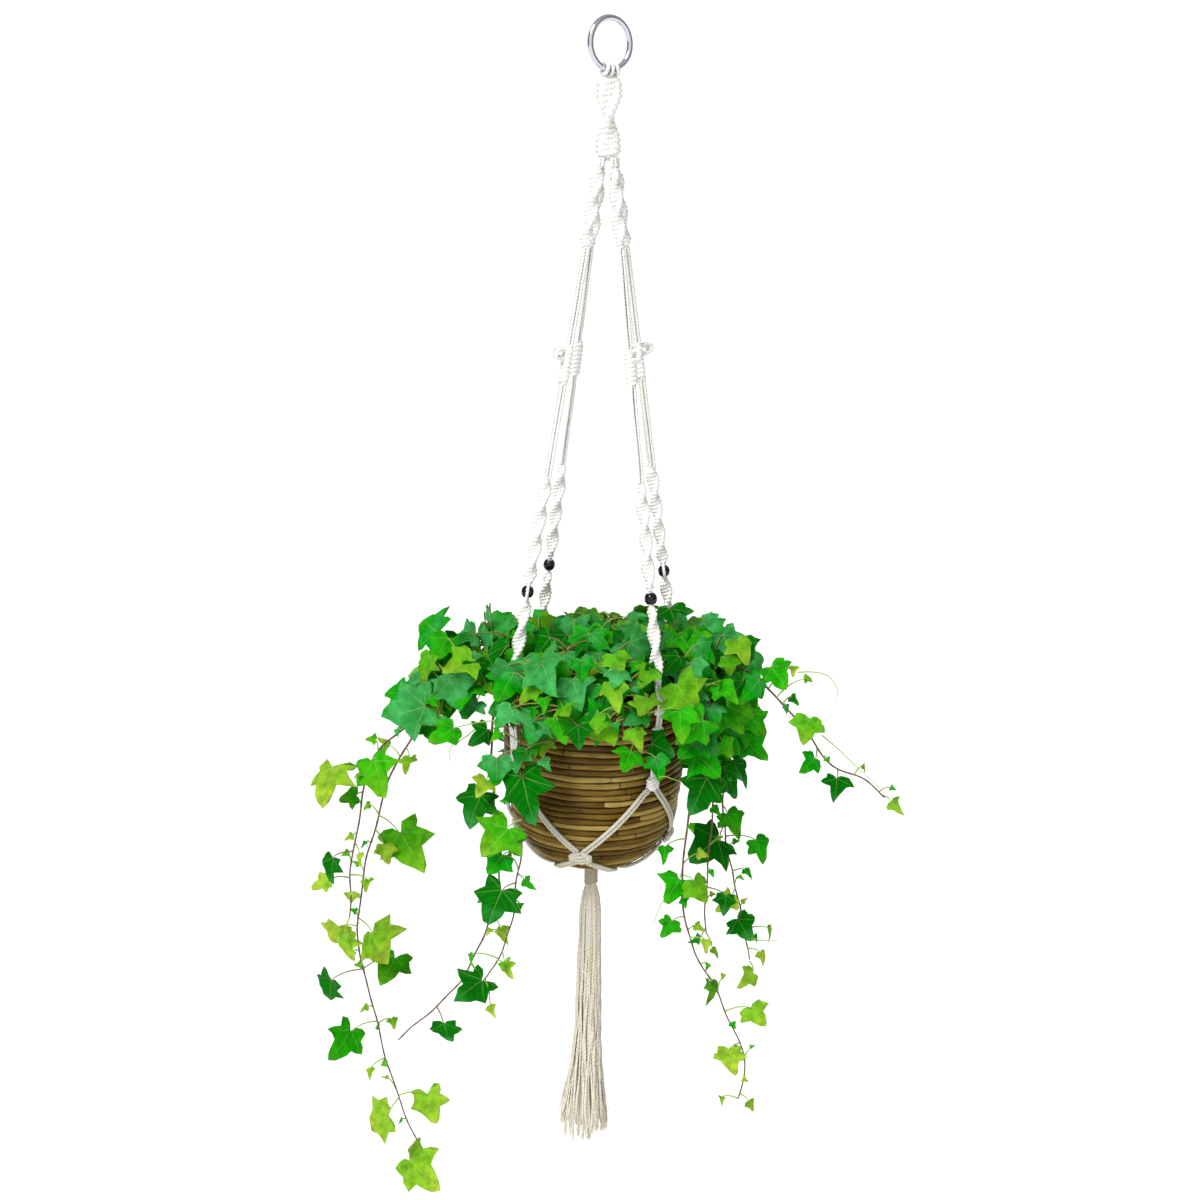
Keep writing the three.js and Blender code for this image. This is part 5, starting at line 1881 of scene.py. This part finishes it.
# Leaves that stand out on each vine, as (x, y, z, size, tone), and for one the turn of its tip.
VINE_LEAVES = {
    "vine_left_outer": (
        (-177, -78, -628, 60, F, -1.6), (-253, -84, -697, 52, L), (-205, -86, -688, 46, G),
        (-236, -60, -722, 24, G), (-252, -84, -786, 34, D), (-264, -64, -812, 24, Y),
        (-222, -90, -773, 16, Y), (-218, -76, -806, 20, L), (-236, -86, -866, 38, L),
        (-132, -80, -606, 42, F), (-148, -40, -574, 34, G),
    ),
    "vine_left_inner": (
        (-184, -22, -700, 24, L), (-186, -26, -786, 54, G), (-206, -32, -792, 26, L),
        (-262, -4, -894, 34, Y), (-216, -32, -890, 50, L), (-208, 8, -936, 44, G),
        (-268, -14, -952, 40, D), (-253, -20, -1010, 46, M), (-224, -30, -1038, 16, L),
        (-204, -2, -996, 16, L), (-164, -24, -1078, 40, L), (-217, -24, -1096, 44, L),
        (-174, -22, -1158, 58, L),
    ),
    "vine_front_left": (
        (-61, -124, -690, 58, D), (-90, -116, -668, 34, F), (-88, -112, -740, 48, G),
        (-90, -112, -806, 46, D), (-90, -106, -768, 32, M), (-60, -100, -790, 18, M),
        (-78, -108, -876, 24, L), (-114, -98, -902, 42, D), (-114, -100, -872, 22, G),
        (-94, -92, -930, 18, Y),
    ),
    "vine_left_low": (
        (-112, -92, -716, 44, D), (-104, -100, -692, 26, L), (-84, -82, -852, 22, L),
        (-142, -70, -966, 32, D), (-104, -72, -818, 20, D),
    ),
    "vine_far_right": (
        (177, -28, -598, 34, G), (193, -20, -595, 14, Y), (207, -24, -603, 14, L),
        (206, -40, -648, 34, L), (196, -12, -628, 16, M), (213, -34, -686, 28, M),
        (240, -38, -708, 30, D), (300, -32, -729, 22, L), (140, -34, -572, 34, L), (118, 6, -566, 36, M),
    ),
    "vine_right_front": (
        (72, -66, -770, 22, M), (82, -64, -808, 36, M), (106, -56, -812, 34, G), (78, -50, -856, 26, M),
        (116, -56, -872, 18, Y), (124, -54, -922, 28, G), (170, -50, -951, 30, L),
        (146, -52, -1000, 34, L), (140, -46, -1050, 12, L), (170, -48, -1055, 18, L),
    ),
    "vine_right_side": (
        (118, 2, -792, 54, D), (142, 2, -764, 34, G), (172, 4, -794, 36, M), (162, 18, -826, 16, M),
        (140, 4, -852, 30, Y), (158, 2, -880, 36, D), (180, 4, -914, 20, Y), (166, 6, -938, 26, L),
        (188, 16, -892, 22, L),
    ),
    "vine_right_low": (
        (136, -30, -838, 24, D), (108, -28, -880, 18, F), (128, -24, -896, 16, L),
    ),
    "vine_rear_left": ((-42, 112, -842, 24, M),),
    "vine_rear_right": ((32, 116, -812, 22, M),),
}
CLOTHED = {
    "vine_left_outer": (85, 190, 20, 42, 34),
    "vine_left_inner": (75, 190, 21, 44, 34),
    "vine_front_left": (70, 115, 15, 40, 36),
    "vine_far_right": (70, 150, 20, 38, 30),
    "vine_right_front": (75, 205, 19, 40, 30),
    "vine_right_side": (85, 225, 19, 42, 34),
    "vine_right_low": (90, 200, 20, 40, 32),
    "vine_rear_left": (90, 300, 34, 44, 26),
    "vine_rear_right": (90, 270, 34, 44, 26),
}
# Short shoots of the crown: azimuth, reach, height of their top and end, and bend.
SHOOTS = (
    (-12, 118, -584, -644, -6), (8, 116, -578, -640, 6), (23, 114, -586, -676, -4),
    (51, 116, -582, -632, 4), (112, 126, -584, -640, 8), (144, 124, -580, -650, 6),
    (182, 122, -582, -664, -6), (-124, 126, -584, -644, 6), (-102, 132, -580, -636, 4),
    (-28, 96, -568, -598, 8), (76, 84, -566, -576, 0), (-80, 84, -564, -574, 0), (163, 80, -566, -572, 0),
)
CROWN_LEAVES = (
    (-89, -14, -565, 38, M), (-128, -30, -568, 24, D), (-106, -28, -570, 30, F), (-118, -66, -626, 30, M),
    (-53, -10, -558, 28, L), (-20, -30, -558, 38, F), (-50, -52, -568, 36, D), (-84, -90, -586, 36, F),
    (-138, -116, -636, 34, G), (-30, -78, -576, 36, F), (-18, -110, -592, 36, F), (2, -58, -556, 30, G),
    (20, -88, -572, 30, L), (38, -26, -560, 28, F), (48, -98, -580, 28, L), (76, 20, -554, 38, D),
    (98, -20, -566, 30, M), (94, -66, -586, 36, F), (124, -62, -604, 34, G), (-82, -118, -616, 30, F),
    (-56, -128, -624, 42, F), (-32, -120, -626, 30, G), (-106, -100, -642, 28, D), (2, -120, -620, 30, L),
    (20, -112, -600, 30, M), (46, -122, -602, 28, L), (38, -124, -632, 26, L), (32, -118, -656, 30, G),
    (60, -118, -662, 30, M),
)
# Thin shoots and young roots that stand out from a vine or the crown, point by point.
TENDRILS = {
    "vine_far_right": (
        (
            (196, -22, -597), (210, -22, -596), (224, -22, -598), (233, -22, -606), (237, -22, -616),
            (236, -22, -624),
        ),
        ((223, -28, -659), (239, -28, -672), (262, -28, -694), (283, -28, -712)),
    ),
    "vine_right_front": (
        ((91, -48, -806), (81, -48, -817), (73, -48, -828), (67, -48, -841), (63, -48, -856)),
        ((57, -118, -676), (64, -118, -671), (73, -118, -674), (82, -118, -677)),
    ),
    "vine_right_side": (((165, 10, -898), (182, 10, -898), (196, 10, -898)),),
    "vine_front_left": (
        ((-111, -90, -639), (-122, -90, -649), (-134, -90, -656), (-137, -90, -666), (-134, -90, -673)),
    ),
    "ivy_crown": (((7, -40, -564), (4, -40, -554), (9, -40, -546), (16, -40, -542), (26, -40, -541)),),
}
# Palettes by which leaves take their tones, from shade to sun.
CROWN_PALETTE = (D, F, M, G, D, M, L, F, M, L, D, G)
COLUMN_PALETTE = (M, D, M, G, D, M, G, M)
SUNNY_PALETTE = (G, M, L, G, F, L)
YOUNG_PALETTE = (G, L, M, G, Y, M, L)


@dataclass
class Ivy:
    """The plant: ten trailing vines and a crown of short shoots."""

    form: BasketForm
    bunch: float = 6.5
    arm_room: float = 7.6
    stem_room: float = 0.3
    arm_from: float = -500.0

    def shoot_route(self, shoot: tuple) -> Array:
        """The route of a short shoot, out of the bunch, up and over the rim.

        Args:
            shoot: Its row in the table of shoots.

        Returns:
            Its points in order.
        """
        azimuth, reach, rise, end, bend = shoot
        near = (0.97, mix(rise, end, 0.22)) if end < -600 else (0.95, mix(rise, end, 0.6))
        rows = (
            (0.02, BUNCH_TOP - 8, 0.0),
            (0.16, -612.0, 0.0),
            (0.42, rise - 4, 0.0),
            (0.74, rise, bend * 0.4),
            (*near, bend * 0.8),
            (1.0, end, bend),
        )
        return np.array([polar(reach * share, azimuth + swing, z) for share, z, swing in rows])

    def strewn(self, room: Clearings, stems: list[Shoot]) -> None:
        """Marks the hanger's arms and all stems as taken.

        Args:
            room: Where they are marked.
            stems: The stems.
        """
        heights = np.array([self.arm_from, *(z for z, _ in ARM_LINE[1:])])
        for azimuth in ARM_AZIMUTHS.values():
            room.strew(on_arm(azimuth, heights), self.arm_room, -1)
        for stem in stems:
            room.strew(stem.line, STEM_RADIUS + self.stem_room, stem.owner)

    def grow(self) -> tuple[list[Shoot], list[Shoot]]:
        """Grows the leaves by the rule of the solids, then the small ones between them.

        Returns:
            The vines and the shoots of the crown, with their leaves.
        """
        vines = []
        for name, (root, *route) in VINE_ROUTES.items():
            points = np.array(((*root, ROOT_Z), (*root, RISE_Z), *route), float)
            vines.append(Shoot(name, len(vines), eased(points)))
        crown = len(vines)
        shoots = [Shoot("ivy_crown", crown, eased(self.shoot_route(row))) for row in SHOOTS]
        room = Clearings(self.form, 0.64, 0.062, 0.5)
        self.strewn(room, vines + shoots)
        random = Seeded(7)
        for vine in vines:
            for spot in VINE_LEAVES[vine.name]:
                vine.take(room, placed_leaf(vine.line, spot, random))
        for spot in CROWN_LEAVES:
            point = vec(*spot[:3])
            gaps = [np.linalg.norm(nearest_on(shoot.line, point) - point) for shoot in shoots]
            shoot = shoots[int(np.argmin(gaps))]
            shoot.take(room, placed_leaf(shoot.line, spot, random))
        for shoot in shoots:
            shoot.grow(room, (36, line_length(shoot.line), 18, 42, 35), random, CROWN_PALETTE)
        for vine in vines:
            if vine.name in CLOTHED:
                sunny = "left" in vine.name or "far" in vine.name
                vine.grow(room, CLOTHED[vine.name], random, SUNNY_PALETTE if sunny else COLUMN_PALETTE)
        self.fill(vines, shoots)
        return vines, shoots

    def fill(self, vines: list[Shoot], shoots: list[Shoot]) -> None:
        """Adds small leaves where the blades, taken closer to their real form, leave room.

        Args:
            vines: The vines.
            shoots: The shoots of the crown.
        """
        room = Clearings(self.form, 0.34, 0.02, 0.2)
        self.strewn(room, vines + shoots)
        for stem in vines + shoots:
            for leaf in stem.leaves:
                room.keep(leaf, stem.owner)
        random = Seeded(19)
        clothed = [vine for vine in vines if vine.name in CLOTHED]
        for size, tries in ((40, 40), (32, 50), (24, 50), (17, 30)):
            for shoot in shoots:
                shoot.crowd(room, (26, line_length(shoot.line), tries, size), random, CROWN_PALETTE)
            for vine in clothed:
                low, high, *_ = CLOTHED[vine.name]
                right = "right" in vine.name and "far" not in vine.name
                palette = COLUMN_PALETTE if right else CROWN_PALETTE
                vine.crowd(room, (low - 20, high, tries, size), random, palette)
        for vine in clothed:
            stretch = (CLOTHED[vine.name][1] + 20, line_length(vine.line), 34, 15, 10)
            vine.grow(room, stretch, random, YOUNG_PALETTE)

    def stem(self, solids: Solids, line: Array, rng: Rng, thick: float) -> None:
        """A smooth stem with a slight swelling at each node.

        Args:
            solids: Where it goes.
            line: Its line, corner by corner.
            rng: Draws its waves.
            thick: Its radius at the root.
        """
        length = line_length(line)
        s = np.arange(0, length, 4.0)
        path = np.array([along_line(line, d) for d in s])
        smooth(path, 6)
        ahead, across = carried(path)
        hold = np.clip(s / 40, 0, 1)
        for direction in (across, np.cross(ahead, across)):
            wave = hold * 0.7 * np.sin(s / rng.uniform(7, 12) + rng.uniform(0, 6))
            path = path + direction * wave[:, None]
        radius = thick * mix(1.0, 0.55, s / length) * (1 + 0.18 * (np.arange(len(s)) % 5 == 0))
        solids.tube(path, radius, 6, tone=0.05, finish=2)

    def build(self) -> None:
        """One piece for each vine and one for the crown."""
        rng = np.random.default_rng(29)
        finishes = [BLADE_FACE.make(), BLADE_BACK.make(), STEM.make()]
        forms = {lobes: BladeForm(lobes) for lobes in Lobes}
        vines, shoots = self.grow()
        groups = {vine.name: [vine] for vine in vines} | {"ivy_crown": shoots}
        for name, stems in groups.items():
            solids = Solids()
            for stem in stems:
                self.stem(solids, stem.line, rng, 1.3 if len(stems) == 1 else 1.1)
                for leaf in stem.leaves:
                    forms[Lobes.of(leaf.length)].cast(solids, leaf, rng)
            for points in TENDRILS.get(name, ()):
                path = eased(np.array(points, float))
                solids.tube(path, np.linspace(0.7, 0.3, len(path)), 5, tone=0.9, finish=2)
            if name == "ivy_crown":
                z = np.linspace(ROOT_Z, BUNCH_TOP, 8)
                solids.tube(polar(0.0, 0.0, z), self.bunch * np.linspace(1, 0.6, 8), 12, finish=2)
            place(solids.mesh(f"leafy_{name.removeprefix('ivy_')}", finishes), (name,))
            low, high = (np.array(corner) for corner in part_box(name))
            made = np.concatenate(solids.points) * MM
            drift = max(np.abs(made.min(0) - low).max(), np.abs(made.max(0) - high).max())
            leaves = sum(len(stem.leaves) for stem in stems)
            LOG.info("%s: %d leaves, within %.1f mm of its solid's box", name, leaves, drift / MM)


# The studio


@dataclass
class Studio:
    """A pale floor, soft light and the camera of the photograph."""

    eye: tuple = (0.0025, -1.5, -0.1551)
    sensor: float = 36.0
    # The focal length in pixels of the photograph, and its width.
    focal: float = 1583.0
    photo: float = 1200.0
    pitch: float = 14.2
    roll: float = 1.35
    floor_size: float = 24.0
    floor_z: float = -2.0
    sun_from: tuple = (-1.1, -1.6, 1.6)
    sun_aim: tuple = (0.0, 0.0, -0.4)
    sun_power: float = 3.0
    sun_width: float = 26.0

    def camera(self) -> None:
        """The camera, level with the upper arms and looking down a little."""
        data = bpy.data.cameras.new("view")
        data.sensor_width = self.sensor
        data.lens = self.focal / self.photo * self.sensor
        eye = bpy.data.objects.new("view", data)
        tilt = Matrix.Rotation(math.radians(90 - self.pitch), 4, "X")
        eye.matrix_world = (
            Matrix.Translation(self.eye) @ tilt @ Matrix.Rotation(math.radians(self.roll), 4, "Z")
        )
        bpy.context.scene.collection.objects.link(eye)
        bpy.context.scene.camera = eye

    def sun(self) -> None:
        """One wide, soft lamp over the camera's left shoulder."""
        data = bpy.data.lights.new("key_light", "SUN")
        data.angle = math.radians(self.sun_width)
        data.energy = self.sun_power
        lamp = bpy.data.objects.new("key_light", data)
        lamp.location = self.sun_from
        x, y, z = (b - a for a, b in zip(self.sun_from, self.sun_aim))
        lamp.rotation_euler = (math.atan2(math.hypot(x, y), -z), 0, math.atan2(y, x) - math.pi / 2)
        bpy.context.scene.collection.objects.link(lamp)

    def room(self) -> None:
        """White surroundings that darken overhead and at both sides, so that steel shows its form."""
        world = bpy.data.worlds.new("white_room")
        world.use_nodes = True
        tree = world.node_tree
        sky = tree.nodes["Background"]
        sky.inputs[0].default_value = linear("#FFFFFF")
        seen = add(tree, "TexCoord").outputs["Generated"]
        direction = add(tree, "SeparateXYZ", (seen,)).outputs
        side = add(tree, "Math", (direction[0],), operation="ABSOLUTE")
        overhead = {"Value": direction[2], "From Min": 0.4, "From Max": 0.9, "To Min": 1.12, "To Max": 0.45}
        walls = {"Value": side, "From Min": 0.5, "From Max": 0.85, "To Min": 1.0, "To Max": 0.25}
        shades = tuple(add(tree, "MapRange", part) for part in (overhead, walls))
        both = add(tree, "Math", shades, operation="MULTIPLY")
        tree.links.new(both.outputs[0], sky.inputs[1])
        bpy.context.scene.world = world

    def build(self) -> None:
        """The floor, the surroundings and the lamp."""
        bpy.ops.object.select_all(action="DESELECT")
        bpy.ops.mesh.primitive_grid_add(
            x_subdivisions=8, y_subdivisions=8, size=self.floor_size, location=(0, 0, self.floor_z)
        )
        floor = bpy.context.object
        floor.name = "pale_floor"
        bpy.ops.object.transform_apply(location=True)
        floor.data.materials.append(FLOOR.make())
        self.room()
        bpy.context.scene.view_settings.view_transform = "Standard"
        self.sun()


def main() -> None:
    """Builds the sub-assemblies in order."""
    logging.basicConfig(level=logging.INFO, format="%(message)s")
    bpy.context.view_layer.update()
    studio = Studio()
    studio.camera()
    form = BasketForm()
    ring = Ring()
    beads = {name: Bead(name, azimuth) for name, azimuth in ARM_AZIMUTHS.items()}
    crossed = ("front_left", "rear_right")
    arms = [Arm(name, azimuth, beads[name], name in crossed) for name, azimuth in ARM_AZIMUTHS.items()]
    ring.build()
    Crown().build(ring)
    for part in (*beads.values(), *arms, Net(form), Tassel(), Basket(form), PottedSoil(form), Ivy(form)):
        part.build()
        LOG.info("built %s %s", type(part).__name__, getattr(part, "name", ""))
    studio.build()
    total = 0
    for piece in bpy.context.scene.objects:
        if piece.type == "MESH" and not piece.hide_render:
            piece.data.calc_loop_triangles()
            total += len(piece.data.loop_triangles)
            LOG.info("%s: %d triangles", piece.name, len(piece.data.loop_triangles))
    LOG.info("%d triangles in all", total)


if __name__ == "__main__":
    main()
